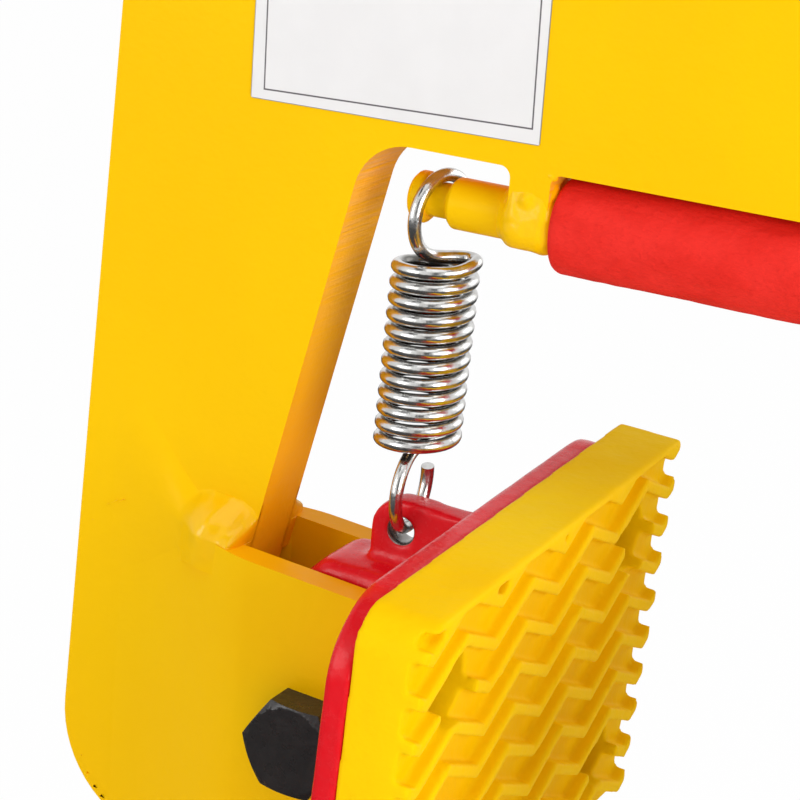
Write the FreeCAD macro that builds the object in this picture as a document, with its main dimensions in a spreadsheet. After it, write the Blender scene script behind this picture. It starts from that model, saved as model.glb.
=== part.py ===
import FreeCAD, Part
import math
import os
import re

import Sketcher
from FreeCAD import Placement, Rotation, Vector

# Stone lifting clamp: a flame-cut inverted-U plate that hangs from its lifting eye.
# Each leg ends in a fork of two cheek plates that carries a swinging jaw on one pivot bolt.
# X runs across the throat, Y through the plate from front to rear, Z up.
# The origin is the centre of the lifting eye. Lengths are in millimetres, angles in degrees.

SIZES = [
    # Where the two jaws pivot
    ("pivot_spacing", 262.0),
    ("pivot_drop", 350.0),
    # Main plate, heights above the pivots, reaches outwards from a pivot
    ("plate_thickness", 25.0),
    ("leg_outer_reach", 101.0),
    ("leg_outer_lean", 2.3),
    ("leg_inner_reach", 44.8),
    ("leg_inner_lean", 12.4),
    ("leg_drop", 62.0),
    ("leg_heel_radius", 40.0),
    ("leg_toe_radius", 8.0),
    ("throat_height", 192.3),
    ("throat_corner_radius", 18.0),
    ("shoulder_height", 286.0),
    ("shoulder_radius", 42.0),
    ("crown_height", 334.0),
    ("lug_foot_half_width", 72.0),
    ("lug_foot_radius", 30.0),
    ("lug_half_width", 46.0),
    ("lug_rise", 47.0),
    ("lug_corner_radius", 40.0),
    # Lifting eye and its doubler rings
    ("eye_radius", 21.0),
    ("eye_ring_radius", 36.0),
    ("eye_ring_thickness", 8.0),
    ("eye_ring_chamfer", 2.0),
    # Tabs under the crown that hold the crossbar
    ("tab_offset", 45.3),
    ("tab_width", 13.0),
    ("tab_root_radius", 3.5),
    ("tab_foot_drop", 5.4),
    ("tab_tip_radius", 3.0),
    # Crossbar with a grooved neck at each end
    ("bar_below_throat", 17.0),
    ("bar_radius", 8.0),
    ("bar_end_offset", 9.3),
    ("bar_disc_width", 5.6),
    ("bar_neck_width", 7.2),
    ("bar_neck_radius", 5.5),
    ("bar_edge_chamfer", 1.5),
    ("weld_gap", 0.1),
    # Foam sleeve on the crossbar
    ("sleeve_radius", 15.0),
    ("sleeve_end_gap", 1.0),
    ("sleeve_edge_chamfer", 1.0),
    ("soft_gap", 0.3),
    # Cheek plates
    ("cheek_thickness", 10.0),
    ("cheek_reach", 96.0),
    ("cheek_bevel_run", 30.0),
    ("cheek_set_start", 62.0),
    ("cheek_set_end", 40.0),
    ("cheek_inner_set_start", 46.0),
    ("cheek_inner_set_end", 34.0),
    ("cheek_top", 55.0),
    ("cheek_top_slope", 4.6),
    ("cheek_top_start", 33.0),
    ("cheek_corner_radius", 20.0),
    ("cheek_heel_radius", 30.0),
    ("cheek_nose_radius", 57.0),
    ("cheek_nose_setback", 5.0),
    ("cheek_stop_radius", 2.0),
    ("cheek_foot_gap", 3.0),
    ("fork_gap", 34.0),
    # Pivot bolt, its nut and washer
    ("bolt_radius", 10.0),
    ("bolt_bore_gap", 0.1),
    ("bolt_flats", 30.0),
    ("bolt_head", 12.5),
    ("bolt_turn", 3.5),
    ("hex_chamfer_slope", 60.0),
    ("bolt_tail", 4.0),
    ("bolt_tip_chamfer", 1.5),
    ("nut_height", 16.0),
    ("nut_collar", 4.0),
    ("nut_collar_radius", 12.8),
    ("washer_radius", 18.5),
    ("washer_thickness", 3.0),
    # Jaw casting
    ("hub_width", 31.0),
    ("hub_radius", 29.0),
    ("bush_wall", 3.0),
    ("bush_running_gap", 0.05),
    ("thrust_washer_radius", 20.0),
    ("thrust_washer_play", 0.1),
    ("hub_hump_height", 56.5),
    ("hub_hump_reach", 6.0),
    ("hub_shoulder_height", 47.0),
    ("hub_shoulder_reach", 15.0),
    ("hub_heel_height", 14.0),
    ("hub_heel_reach", 24.0),
    ("web_foot_height", 38.0),
    ("web_foot_reach", 8.0),
    ("web_edge_radius", 5.0),
    ("ear_thickness", 10.0),
    ("ear_hole_offset", 16.3),
    ("ear_hole_height", 68.3),
    ("ear_hole_radius", 4.4),
    ("ear_radius", 11.0),
    ("ear_top_fall", 2.5),
    ("ear_root", 6.0),
    ("jaw_tilt", 2.55),
    ("plate_back_offset", 36.9),
    ("backing_thickness", 8.0),
    ("backing_width", 189.0),
    ("backing_top", 84.0),
    ("backing_top_slope", 2.4),
    ("backing_bottom", 47.0),
    ("backing_corner_radius", 26.0),
    ("backing_edge_radius", 2.0),
    ("jaw_stop_gap", 0.3),
    # Grip pad
    ("pad_thickness", 17.8),
    ("pad_top_rise", 1.1),
    ("pad_front_corner_radius", 12.0),
    ("pad_rear_corner_radius", 2.0),
    ("pad_edge_radius", 1.5),
    ("pad_inset", 0.5),
    ("pad_rim", 2.5),
    ("rib_depth", 5.0),
    ("rib_pitch", 14.0),
    ("rib_width", 4.4),
    ("rib_half_wave", 22.2),
    ("rib_rise", 12.6),
    ("rib_climb", 3.2),
    ("rib_first_drop", 17.2),
    # Pad screws
    ("screw_spread", 134.0),
    ("screw_top", 57.5),
    ("screw_row_gap", 80.0),
    ("screw_radius", 5.0),
    ("screw_gap", 0.5),
    ("screw_seat", 5.0),
    ("screw_pocket_radius", 12.0),
    ("screw_head_radius", 8.0),
    ("screw_head", 5.0),
    ("screw_head_chamfer", 0.8),
    ("screw_socket_flats", 8.0),
    ("screw_socket_depth", 3.0),
    ("screw_tail", 2.0),
    ("screw_nut_flats", 17.0),
    ("screw_nut_height", 8.0),
    ("screw_washer_radius", 10.5),
    ("screw_washer_thickness", 2.0),
    # Extension springs
    ("wire_radius", 2.0),
    ("coil_radius", 11.75),
    ("coil_spacing", 5.05),
    ("coil_part_turn", 0.44),
    ("coil_start_angle", -40.0),
    ("coil_below_bar", 19.9),
    ("coil_above_ear", 29.1),
    ("hook_rise", 2.4),
    ("hook_bend_radius", 4.0),
    ("hook_seat_gap", 0.3),
    ("ear_seat_gap", 0.65),
    ("top_hook_turn", 13.0),
    ("top_hook_exit", 30.0),
    ("top_hook_overlap", 35.0),
    ("bottom_hook_exit", 90.0),
    ("bottom_hook_tip", 290.0),
    # Workshop values
    ("overrun", 1.0),
]

# Heights, the cheeks' stop and the spring's turns that follow from the sizes above
FOLLOWING = [
    ("bar_height", "throat_height - bar_below_throat"),
    ("stop_lean", "tan(jaw_tilt) * tan(cheek_top_slope)"),
    ("stop_line", "(plate_back_offset - jaw_stop_gap) / cos(jaw_tilt) + cheek_top * tan(jaw_tilt)"),
    ("cheek_stop", "(stop_line - cheek_top_start * stop_lean) / (1 + stop_lean)"),
    ("coil_top", "bar_height - coil_below_bar"),
    ("coil_bottom", "ear_hole_height + coil_above_ear"),
    ("coil_turns", "floor((coil_top - coil_bottom) / coil_spacing) + coil_part_turn"),
    ("coil_pitch", "(coil_top - coil_bottom) / coil_turns"),
]

ALIASES = {alias for alias, _ in SIZES + FOLLOWING}
HEX_CHAMFER_SHARE = 0.95

doc = FreeCAD.newDocument("stone_lifting_clamp")
sheet = doc.addObject("Spreadsheet::Sheet", "Sheet")
for row, (alias, number) in enumerate(SIZES, start=1):
    sheet.set(f"A{row}", alias)
    sheet.set(f"B{row}", str(number))
    sheet.setAlias(f"B{row}", alias)
doc.recompute()
for row, (alias, formula) in enumerate(FOLLOWING, start=len(SIZES) + 1):
    sheet.set(f"A{row}", alias)
    sheet.set(f"B{row}", f"={formula}")
    sheet.setAlias(f"B{row}", alias)
    doc.recompute()


def on_sheet(text):
    """Turn the plain size names in a formula into references to the sheet."""
    return re.sub(r"[a-z_]+", lambda word: "Sheet." * (word.group() in ALIASES) + word.group(), text)


def size(text):
    """The present value of a formula written in size names."""
    return float(sheet.evalExpression(on_sheet(text)))


def bind(thing, name, text):
    """Tie one property to a formula written in size names."""
    thing.setExpression(name, on_sheet(text))


def place(thing, x="0", y="0", z="0", turn=None):
    """Place an object by formulas, with an optional fixed turn."""
    thing.Placement = Placement(Vector(size(x), size(y), size(z)), turn or Rotation())
    for axis, text in zip("xyz", (x, y, z)):
        if text != "0":
            bind(thing, f"Placement.Base.{axis}", text)
    return thing


ALONG = {
    "x": Rotation(Vector(0, 1, 0), 90),
    "y": Rotation(Vector(1, 0, 0), -90),
    "z": Rotation(),
    "-y": Rotation(Vector(1, 0, 0), 90),
    "-x": Rotation(Vector(0, 1, 0), -90),
}
PLANE_AXES = {"XY_Plane": (0, 1), "XZ_Plane": (0, 2), "YZ_Plane": (1, 2)}


# Modelling steps that the pieces share


def new_body(name):
    body = doc.addObject("PartDesign::Body", name)
    body.Label = name
    return body


def outline(body, plane, corners, lift="0"):
    """A closed outline whose corners follow the sheet, lifted off one of the body's planes."""
    sketch = body.newObject("Sketcher::SketchObject", body.Name + "_outline")
    support = [feature for feature in body.Origin.OriginFeatures if feature.Role == plane][0]
    sketch.AttachmentSupport = (support, [""])
    sketch.MapMode = "FlatFace"
    if lift != "0":
        bind(sketch, "AttachmentOffset.Base.z", lift)
    points = [Vector(size(across), size(up), 0) for across, up in corners]
    count = len(points)
    for index in range(count):
        sketch.addGeometry(Part.LineSegment(points[index], points[(index + 1) % count]), False)
    for index in range(count):
        sketch.addConstraint(Sketcher.Constraint("Coincident", index, 2, (index + 1) % count, 1))
    for index, (across, up) in enumerate(corners):
        for kind, text in (("DistanceX", across), ("DistanceY", up)):
            number = sketch.addConstraint(Sketcher.Constraint(kind, -1, 1, index, 1, size(text)))
            label = f"{kind}_{index}"
            sketch.renameConstraint(number, label)
            bind(sketch, "Constraints." + label, text)
    return sketch


def pad(body, sketch, length, symmetric=False):
    feature = body.newObject("PartDesign::Pad", body.Name + "_pad")
    feature.Profile = (sketch, [""])
    feature.SideType = "Symmetric" if symmetric else "One side"
    bind(feature, "Length", length)
    doc.recompute()
    return feature


def edge_names(shape, wanted):
    return [f"Edge{index}" for index, edge in enumerate(shape.Edges, start=1) if wanted(edge)]


def round_edges(body, radius, wanted):
    """Round the edges of the body's latest feature that the test picks."""
    base = body.Tip
    names = edge_names(base.Shape, wanted)
    if not names:
        raise RuntimeError(f"{body.Name} has no edge to round with {radius}")
    feature = body.newObject("PartDesign::Fillet", body.Name + "_round")
    feature.Base = (base, names)
    bind(feature, "Radius", radius)
    doc.recompute()
    return feature


def upright_at(plane, places):
    """A test for edges square to a plane that start at one of the given places on it."""
    first, second = PLANE_AXES[plane]
    near = size("weld_gap") / 2

    def wanted(edge):
        if len(edge.Vertexes) != 2:
            return False
        start, end = (vertex.Point for vertex in edge.Vertexes)
        level = abs(start[first] - end[first]) < near and abs(start[second] - end[second]) < near
        return level and any(
            abs(start[first] - across) < near and abs(start[second] - up) < near for across, up in places
        )

    return wanted


def rounded_plate(name, plane, corners, thickness, symmetric=True, lift="0"):
    """A plate cut to an outline; each corner is across, up and its radius or None."""
    body = new_body(name)
    sketch = outline(body, plane, [(across, up) for across, up, _ in corners], lift)
    pad(body, sketch, thickness, symmetric)
    for radius in dict.fromkeys(radius for _, _, radius in corners if radius):
        places = [(size(across), size(up)) for across, up, own in corners if own == radius]
        round_edges(body, radius, upright_at(plane, places))
    return body


def turned(name, plane, profile):
    """A solid turned about the plane's first axis; the profile is along and out."""
    body = new_body(name)
    sketch = outline(body, plane, profile)
    feature = body.newObject("PartDesign::Revolution", name + "_turned")
    feature.Profile = (sketch, [""])
    feature.ReferenceAxis = (sketch, ["H_Axis"])
    feature.Angle = 360.0
    doc.recompute()
    return body


def ring_profile(start, length, inner, outer, chamfer="0"):
    """The profile of a ring, with its outer corners broken where a chamfer is given."""
    if chamfer == "0":
        return [
            (start, inner),
            (start, outer),
            (f"{start} + {length}", outer),
            (f"{start} + {length}", inner),
        ]
    return [
        (start, inner),
        (start, f"{outer} - {chamfer}"),
        (f"{start} + {chamfer}", outer),
        (f"{start} + {length} - {chamfer}", outer),
        (f"{start} + {length}", f"{outer} - {chamfer}"),
        (f"{start} + {length}", inner),
    ]


def cylinder(name, radius, length, along, x="0", y="0", z="0"):
    solid = doc.addObject("Part::Cylinder", name)
    bind(solid, "Radius", radius)
    bind(solid, "Height", length)
    return place(solid, x, y, z, ALONG[along])


def hexagon(name, flats, height, along, x="0", y="0", z="0", turn="0"):
    """A hexagon block whose far corners are broken by a cone, as on bolt heads and nuts."""
    block = doc.addObject("Part::Prism", name + "_block")
    block.Polygon = 6
    bind(block, "Circumradius", f"{flats} / 2 / cos(30)")
    bind(block, "Height", height)
    cone = doc.addObject("Part::Cone", name + "_chamfer")
    bind(cone, "Radius2", f"{flats} / 2 * {HEX_CHAMFER_SHARE}")
    bind(cone, "Radius1", f"{flats} / 2 * {HEX_CHAMFER_SHARE} + ({height}) * tan(hex_chamfer_slope)")
    bind(cone, "Height", height)
    piece = common(name, [block, cone])
    return place(piece, x, y, z, ALONG[along] * Rotation(Vector(0, 0, 1), size(turn)))


def fuse(name, solids):
    whole = doc.addObject("Part::MultiFuse", name)
    whole.Shapes = solids
    whole.Label = name
    doc.recompute()
    return whole


def common(name, solids):
    shared = doc.addObject("Part::MultiCommon", name)
    shared.Shapes = solids
    shared.Label = name
    doc.recompute()
    return shared


def cut(name, base, tools):
    tool = tools[0] if len(tools) == 1 else fuse(name + "_tools", tools)
    rest = doc.addObject("Part::Cut", name)
    rest.Base = base
    rest.Tool = tool
    rest.Label = name
    doc.recompute()
    return rest


def group(name, solids):
    """Like pieces that share one node as separate solids."""
    whole = doc.addObject("Part::Compound", name)
    whole.Links = solids
    whole.Label = name
    doc.recompute()
    return whole


def mirrored(source, mirror_normal=Vector(1, 0, 0), name=None):
    """The same piece on the other side of the clamp's middle."""
    other = doc.addObject("Part::Mirroring", name or source.Label.replace("left_", "right_"))
    other.Source = source
    other.Base = Vector(0, 0, 0)
    other.Normal = mirror_normal
    other.Label = other.Name
    doc.recompute()
    return other


def at_pivot_level(piece):
    return place(piece, z="-pivot_drop")


def at_left_pivot(piece, turn=None):
    return place(piece, x="-pivot_spacing / 2", z="-pivot_drop", turn=turn)


def jaw_turn():
    """The lean of the grip face at rest, top edge inwards, about the pivot."""
    return Rotation(Vector(0, 1, 0), size("jaw_tilt"))


def top_at(across):
    """Height of the backing plate's sloping top edge."""
    return f"backing_top + ({across}) * tan(backing_top_slope)"


# Frame: the main plate, its lifting eye, the crossbar and its sleeve


def make_main_plate():
    """The flame-cut inverted U, drawn as its left half and the same points mirrored."""
    hub = "pivot_spacing / 2"
    outer = "-({hub} + leg_outer_reach) + ({up}) * tan(leg_outer_lean)"
    inner = "-({hub} + leg_inner_reach) + ({up}) * tan(leg_inner_lean)"
    tab_foot = "bar_height - tab_foot_drop"
    left = [
        ("-lug_half_width", "pivot_drop + lug_rise", "lug_corner_radius"),
        ("-lug_foot_half_width", "crown_height", "lug_foot_radius"),
        (outer.format(hub=hub, up="shoulder_height"), "shoulder_height", "shoulder_radius"),
        (outer.format(hub=hub, up="-leg_drop"), "-leg_drop", "leg_heel_radius"),
        (inner.format(hub=hub, up="-leg_drop"), "-leg_drop", "leg_toe_radius"),
        (inner.format(hub=hub, up="throat_height"), "throat_height", "throat_corner_radius"),
        (f"-{hub} + tab_offset", "throat_height", "tab_root_radius"),
        (f"-{hub} + tab_offset", tab_foot, "tab_tip_radius"),
        (f"-{hub} + tab_offset + tab_width", tab_foot, "tab_tip_radius"),
        (f"-{hub} + tab_offset + tab_width", "throat_height", "tab_root_radius"),
    ]
    right = [(f"-({across})", up, radius) for across, up, radius in reversed(left)]
    blank = rounded_plate("main_plate_blank", "XZ_Plane", left + right, "plate_thickness")
    eye = cylinder(
        "lifting_eye_cut",
        "eye_radius",
        "plate_thickness + 2 * overrun",
        "y",
        y="-plate_thickness / 2 - overrun",
        z="pivot_drop",
    )
    bar_way = cylinder(
        "bar_way_cut",
        "bar_radius + weld_gap",
        "pivot_spacing - 2 * tab_offset + 2 * overrun",
        "x",
        x="-pivot_spacing / 2 + tab_offset - overrun",
        z="bar_height",
    )
    return at_pivot_level(cut("main_plate", blank, [eye, bar_way]))


def make_eye_rings():
    """Two doubler rings welded round the eye, one on each face of the plate."""
    rear = turned(
        "eye_ring_rear",
        "YZ_Plane",
        [
            ("plate_thickness / 2", "eye_radius"),
            ("plate_thickness / 2", "eye_ring_radius"),
            ("plate_thickness / 2 + eye_ring_thickness - eye_ring_chamfer", "eye_ring_radius"),
            ("plate_thickness / 2 + eye_ring_thickness", "eye_ring_radius - eye_ring_chamfer"),
            ("plate_thickness / 2 + eye_ring_thickness", "eye_radius"),
        ],
    )
    return [rear, mirrored(rear, Vector(0, 1, 0), "eye_ring_front")]


def make_crossbar():
    """A round bar through both tabs, turned down near its ends into spring necks."""
    end = "pivot_spacing / 2 - bar_end_offset"
    neck_out = f"{end} - bar_disc_width"
    neck_in = f"{neck_out} - bar_neck_width"
    half = [
        (neck_in, "bar_neck_radius"),
        (neck_in, "bar_radius - bar_edge_chamfer"),
        (f"{neck_in} - bar_edge_chamfer", "bar_radius"),
    ]
    disc = [
        (end, "0"),
        (end, "bar_radius - bar_edge_chamfer"),
        (f"{end} - bar_edge_chamfer", "bar_radius"),
        (f"{neck_out} + bar_edge_chamfer", "bar_radius"),
        (neck_out, "bar_radius - bar_edge_chamfer"),
        (neck_out, "bar_neck_radius"),
    ]
    right = disc + half
    left = [(f"-({along})", out) for along, out in reversed(right)]
    bar = turned("crossbar", "XZ_Plane", right + left)
    return place(bar, z="bar_height - pivot_drop")


def make_foam_sleeve():
    """The foam sleeve that guards the stone's top edge, on the bar between the tabs."""
    length = "(pivot_spacing - 2 * (tab_offset + tab_width + sleeve_end_gap))"
    profile = ring_profile(
        f"-{length} / 2", length, "bar_radius + soft_gap", "sleeve_radius", "sleeve_edge_chamfer"
    )
    return place(turned("foam_sleeve", "XZ_Plane", profile), z="bar_height - pivot_drop")


# Fork: two cheek plates, the pivot bolt, its washer and nut


def make_left_cheek_rear():
    """A cheek lapped on the leg, bevelled where it is welded and set out to the fork's width."""
    face = "plate_thickness / 2"
    fork = "fork_gap / 2"
    nose = "cheek_stop + overrun"
    plan = new_body("left_cheek_plan")
    sketch = outline(
        plan,
        "XY_Plane",
        [
            ("-cheek_reach", face),
            ("-cheek_inner_set_start", face),
            ("-cheek_inner_set_end", fork),
            (nose, fork),
            (nose, f"{fork} + cheek_thickness"),
            ("-cheek_set_end", f"{fork} + cheek_thickness"),
            ("-cheek_set_start", f"{face} + cheek_thickness"),
            ("-cheek_reach + cheek_bevel_run", f"{face} + cheek_thickness"),
        ],
    )
    pad(plan, sketch, "2 * (leg_drop + cheek_top + cheek_corner_radius)", symmetric=True)
    top = "cheek_top - ({out} + cheek_top_start) * tan(cheek_top_slope)"
    foot = "-leg_drop + cheek_foot_gap"
    toe = f"(plate_back_offset - jaw_stop_gap) / cos(jaw_tilt) + ({foot}) * tan(jaw_tilt)"
    side = rounded_plate(
        "left_cheek_side",
        "XZ_Plane",
        [
            ("-cheek_reach", top.format(out="-cheek_reach"), "cheek_corner_radius"),
            ("cheek_stop", top.format(out="cheek_stop"), "cheek_stop_radius"),
            (f"{toe} - cheek_nose_setback", foot, "cheek_nose_radius"),
            ("-cheek_reach", foot, "cheek_heel_radius"),
        ],
        "2 * (fork_gap + cheek_thickness)",
    )
    bore = cylinder("cheek_bore_cut", "bolt_radius + bolt_bore_gap", "fork_gap + cheek_thickness", "y")
    cheek = cut("left_cheek_rear", common("left_cheek_blank", [plan, side]), [bore])
    return at_left_pivot(cheek)


def make_left_bolt():
    """A hexagon bolt from the front, through both cheeks and the jaw's bush."""
    seat = "fork_gap / 2 + cheek_thickness"
    tip = f"{seat} + washer_thickness + nut_height + nut_collar + bolt_tail"
    head = hexagon("left_bolt_head", "bolt_flats", "bolt_head", "-y", y=f"-({seat})", turn="-bolt_turn")
    shank = turned(
        "left_bolt_shank",
        "YZ_Plane",
        [
            (f"-({seat})", "0"),
            (f"-({seat})", "bolt_radius"),
            (f"{tip} - bolt_tip_chamfer", "bolt_radius"),
            (tip, "bolt_radius - bolt_tip_chamfer"),
            (tip, "0"),
        ],
    )
    return at_left_pivot(fuse("left_pivot_bolt", [head, shank]))


def make_left_nut():
    """A locking nut with its round collar, on the rear cheek's washer."""
    seat = "fork_gap / 2 + cheek_thickness + washer_thickness"
    block = hexagon("left_nut_block", "bolt_flats", "nut_height", "y", y=seat, turn="bolt_turn")
    collar = cylinder("left_nut_collar", "nut_collar_radius", "nut_height + nut_collar", "y", y=seat)
    length = "nut_height + nut_collar + 2 * overrun"
    thread = cylinder("left_nut_thread", "bolt_radius + bolt_bore_gap", length, "y", y=f"{seat} - overrun")
    return at_left_pivot(cut("left_pivot_nut", fuse("left_nut_whole", [block, collar]), [thread]))


def make_left_washer():
    start = "fork_gap / 2 + cheek_thickness"
    profile = ring_profile(start, "washer_thickness", "bolt_radius + bolt_bore_gap", "washer_radius")
    return at_left_pivot(turned("left_pivot_washer", "YZ_Plane", profile))


# Jaw: the casting with its bush and thrust washers, the pad and the pad's screws


def make_left_jaw():
    """The cast jaw: hub, web, spring ear and the leaning backing plate behind the pad."""
    inside = "(plate_back_offset + backing_thickness / 2) / cos(jaw_tilt) + ({up}) * tan(jaw_tilt)"
    hump_end = inside.format(up="hub_hump_height")
    foot_end = inside.format(up="-web_foot_height")
    ear_top = "ear_hole_height + ear_radius - ear_top_fall"
    hub = cylinder("left_hub", "hub_radius", "hub_width", "y", y="-hub_width / 2")
    web = rounded_plate(
        "left_web",
        "XZ_Plane",
        [
            ("-hub_heel_reach", "hub_heel_height", None),
            ("-hub_shoulder_reach", "hub_shoulder_height", None),
            ("-hub_hump_reach", "hub_hump_height", None),
            (hump_end, "hub_hump_height", None),
            (foot_end, "-web_foot_height", None),
            ("web_foot_reach", "-hub_radius + overrun", None),
        ],
        "hub_width",
    )
    side = size("hub_width / 2")
    first = size("-hub_heel_reach")
    low = size("hub_heel_height")

    def along_top(edge):
        start, end = (vertex.Point for vertex in edge.Vertexes)
        on_side = abs(abs(start.y) - side) < size("weld_gap") and abs(start.y - end.y) < size("weld_gap")
        above = min(start.z, end.z) > low - size("weld_gap") and max(start.x, end.x) > first
        return on_side and above and abs(start.x - end.x) > size("weld_gap")

    round_edges(web, "web_edge_radius", along_top)
    ear = rounded_plate(
        "left_ear",
        "XZ_Plane",
        [
            ("ear_hole_offset - ear_radius", "hub_hump_height - ear_root", None),
            ("ear_hole_offset - ear_radius", "ear_hole_height + ear_radius", "ear_radius"),
            (inside.format(up=ear_top), ear_top, None),
            (hump_end, "hub_hump_height - ear_root", None),
        ],
        "ear_thickness",
    )
    backing = rounded_plate(
        "left_backing",
        "YZ_Plane",
        [
            ("-backing_width / 2", "-backing_bottom", "backing_corner_radius"),
            ("-backing_width / 2", top_at("-backing_width / 2"), "backing_corner_radius"),
            ("backing_width / 2", top_at("backing_width / 2"), "backing_corner_radius"),
            ("backing_width / 2", "-backing_bottom", "backing_corner_radius"),
        ],
        "backing_thickness",
        symmetric=False,
        lift="plate_back_offset",
    )
    back = size("plate_back_offset")
    round_edges(
        backing,
        "backing_edge_radius",
        lambda edge: all(abs(vertex.X - back) < size("weld_gap") for vertex in edge.Vertexes),
    )
    holes = []
    clear = "screw_radius + screw_gap"
    through = "backing_thickness + 2 * overrun"
    start = "plate_back_offset - overrun"
    for index, (y, z) in enumerate(screw_places()):
        holes.append(cylinder(f"left_backing_hole_{index}", clear, through, "x", start, y, z))
    drilled = place(cut("left_backing_drilled", backing, holes), turn=jaw_turn())
    whole = fuse("left_jaw_whole", [hub, web, ear, drilled])
    through = "2 * hub_width"
    start = "-hub_width"
    spot = ("ear_hole_offset", start, "ear_hole_height")
    bush = "bolt_radius + bush_running_gap + bush_wall"
    ways = [
        cylinder("left_bush_bore", bush, through, "y", y=start),
        cylinder("left_ear_hole", "ear_hole_radius", through, "y", *spot),
    ]
    return at_left_pivot(cut("left_jaw", whole, ways))


def screw_places():
    """Across and up of the four pad screws, in rows that follow the sloping top edge."""
    rows = ("screw_top", "screw_top - screw_row_gap")
    sides = ("-screw_spread / 2", "screw_spread / 2")
    return [(side, f"{row} + ({side}) * tan(backing_top_slope)") for side in sides for row in rows]


def make_left_bush():
    inner = "bolt_radius + bush_running_gap"
    profile = ring_profile("-hub_width / 2", "hub_width", inner, f"{inner} + bush_wall")
    return at_left_pivot(turned("left_bush", "YZ_Plane", profile))


def make_left_thrust_washers():
    """A thin washer on each side of the hub fills the fork but for a little play."""
    thickness = "((fork_gap - hub_width) / 2 - thrust_washer_play)"
    rear = turned(
        "left_thrust_washer_rear",
        "YZ_Plane",
        ring_profile("hub_width / 2", thickness, "bolt_radius + bush_running_gap", "thrust_washer_radius"),
    )
    front = mirrored(rear, Vector(0, 1, 0), "left_thrust_washer_front")
    return at_left_pivot(group("left_thrust_washers", [rear, front]))


def make_left_pad():
    """The moulded pad: a slab with zigzag ribs across it, a rim on top and pockets for its screws."""
    front = "plate_back_offset + backing_thickness"
    face = f"{front} + pad_thickness"
    half = "(backing_width / 2 - pad_inset)"
    front_top = f"{top_at('-' + half)} + pad_top_rise"
    rear_top = f"{top_at(half)} + pad_top_rise"
    corners = [
        (f"-{half}", "-backing_bottom + pad_inset", "pad_front_corner_radius"),
        (f"-{half}", front_top, "pad_front_corner_radius"),
        (half, rear_top, "pad_rear_corner_radius"),
        (half, "-backing_bottom + pad_inset", "pad_rear_corner_radius"),
    ]
    slab = rounded_plate("left_pad_slab", "YZ_Plane", corners, "pad_thickness", symmetric=False, lift=front)
    mould = rounded_plate(
        "left_pad_mould", "YZ_Plane", corners, "pad_thickness + rib_depth", symmetric=False, lift=front
    )
    crest = size(f"{face} + rib_depth")
    round_edges(
        mould,
        "pad_edge_radius",
        lambda edge: all(abs(vertex.X - crest) < size("weld_gap") for vertex in edge.Vertexes),
    )
    steps = math.ceil(size("backing_width / 2 / rib_half_wave"))
    wave = []
    for step in range(-steps, steps + 1):
        up = f"-backing_bottom - rib_first_drop + {step // 2} * rib_climb + {step % 2} * rib_rise"
        wave.append((f"{step} * rib_half_wave", up))
    rib = new_body("left_pad_rib")
    upper = [(across, f"{up} + rib_width") for across, up in wave]
    sketch = outline(rib, "YZ_Plane", upper + wave[::-1], f"{face} - overrun")
    base = pad(rib, sketch, "rib_depth + overrun")
    reach = "backing_top + backing_bottom + rib_first_drop + 2 * rib_rise"
    count = math.ceil(size(f"({reach}) / rib_pitch"))
    rows = [base.Shape.translated(Vector(0, 0, index * size("rib_pitch"))) for index in range(count)]
    ribs = doc.addObject("Part::Feature", "left_pad_ribs")
    ribs.Shape = Part.makeCompound(rows)
    rim = new_body("left_pad_rim")
    edge = [(f"-{half}", front_top), (half, rear_top)]
    rim_over = [(across, f"{up} + overrun") for across, up in edge]
    rim_under = [(across, f"{up} - pad_rim") for across, up in reversed(edge)]
    pad(rim, outline(rim, "YZ_Plane", rim_over + rim_under, f"{face} - overrun"), "rib_depth + overrun")
    ribbed = common("left_pad_ribbed", [fuse("left_pad_raw", [slab, rim, ribs]), mould])
    seat = f"{front} + screw_seat"
    through = "pad_thickness + rib_depth + 2 * overrun"
    ways = []
    for index, (y, z) in enumerate(screw_places()):
        hole = f"{front} - overrun"
        ways.append(cylinder(f"left_pad_hole_{index}", "screw_radius + screw_gap", through, "x", hole, y, z))
        ways.append(cylinder(f"left_pad_pocket_{index}", "screw_pocket_radius", through, "x", seat, y, z))
    return at_left_pivot(cut("left_pad", ribbed, ways), jaw_turn())


def make_left_pad_screws():
    """Four socket screws with washers under their heads, sunk in the pad's pockets."""
    seat = "plate_back_offset + backing_thickness + screw_seat"
    under = f"{seat} + screw_washer_thickness"
    tail = "plate_back_offset - screw_nut_height - screw_tail"
    screws = []
    for index, (y, z) in enumerate(screw_places()):
        screw = turned(
            f"left_pad_screw_{index}",
            "XZ_Plane",
            [
                (tail, "0"),
                (tail, "screw_radius"),
                (under, "screw_radius"),
                (under, "screw_head_radius"),
                (f"{under} + screw_head - screw_head_chamfer", "screw_head_radius"),
                (f"{under} + screw_head", "screw_head_radius - screw_head_chamfer"),
                (f"{under} + screw_head", "0"),
            ],
        )
        socket = doc.addObject("Part::Prism", f"left_pad_socket_{index}")
        socket.Polygon = 6
        bind(socket, "Circumradius", "screw_socket_flats / 2 / cos(30)")
        bind(socket, "Height", "screw_socket_depth + overrun")
        place(socket, f"{under} + screw_head - screw_socket_depth", turn=ALONG["x"])
        screws.append(place(cut(f"left_pad_cap_screw_{index}", screw, [socket]), y=y, z=z))
    return at_left_pivot(group("left_pad_screws", screws), jaw_turn())


def make_left_pad_washers():
    seat = "plate_back_offset + backing_thickness + screw_seat"
    washers = []
    for index, (y, z) in enumerate(screw_places()):
        inner = "screw_radius + weld_gap"
        profile = ring_profile(seat, "screw_washer_thickness", inner, "screw_washer_radius")
        washers.append(place(turned(f"left_pad_washer_{index}", "XZ_Plane", profile), y=y, z=z))
    return at_left_pivot(group("left_pad_washers", washers), jaw_turn())


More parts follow.
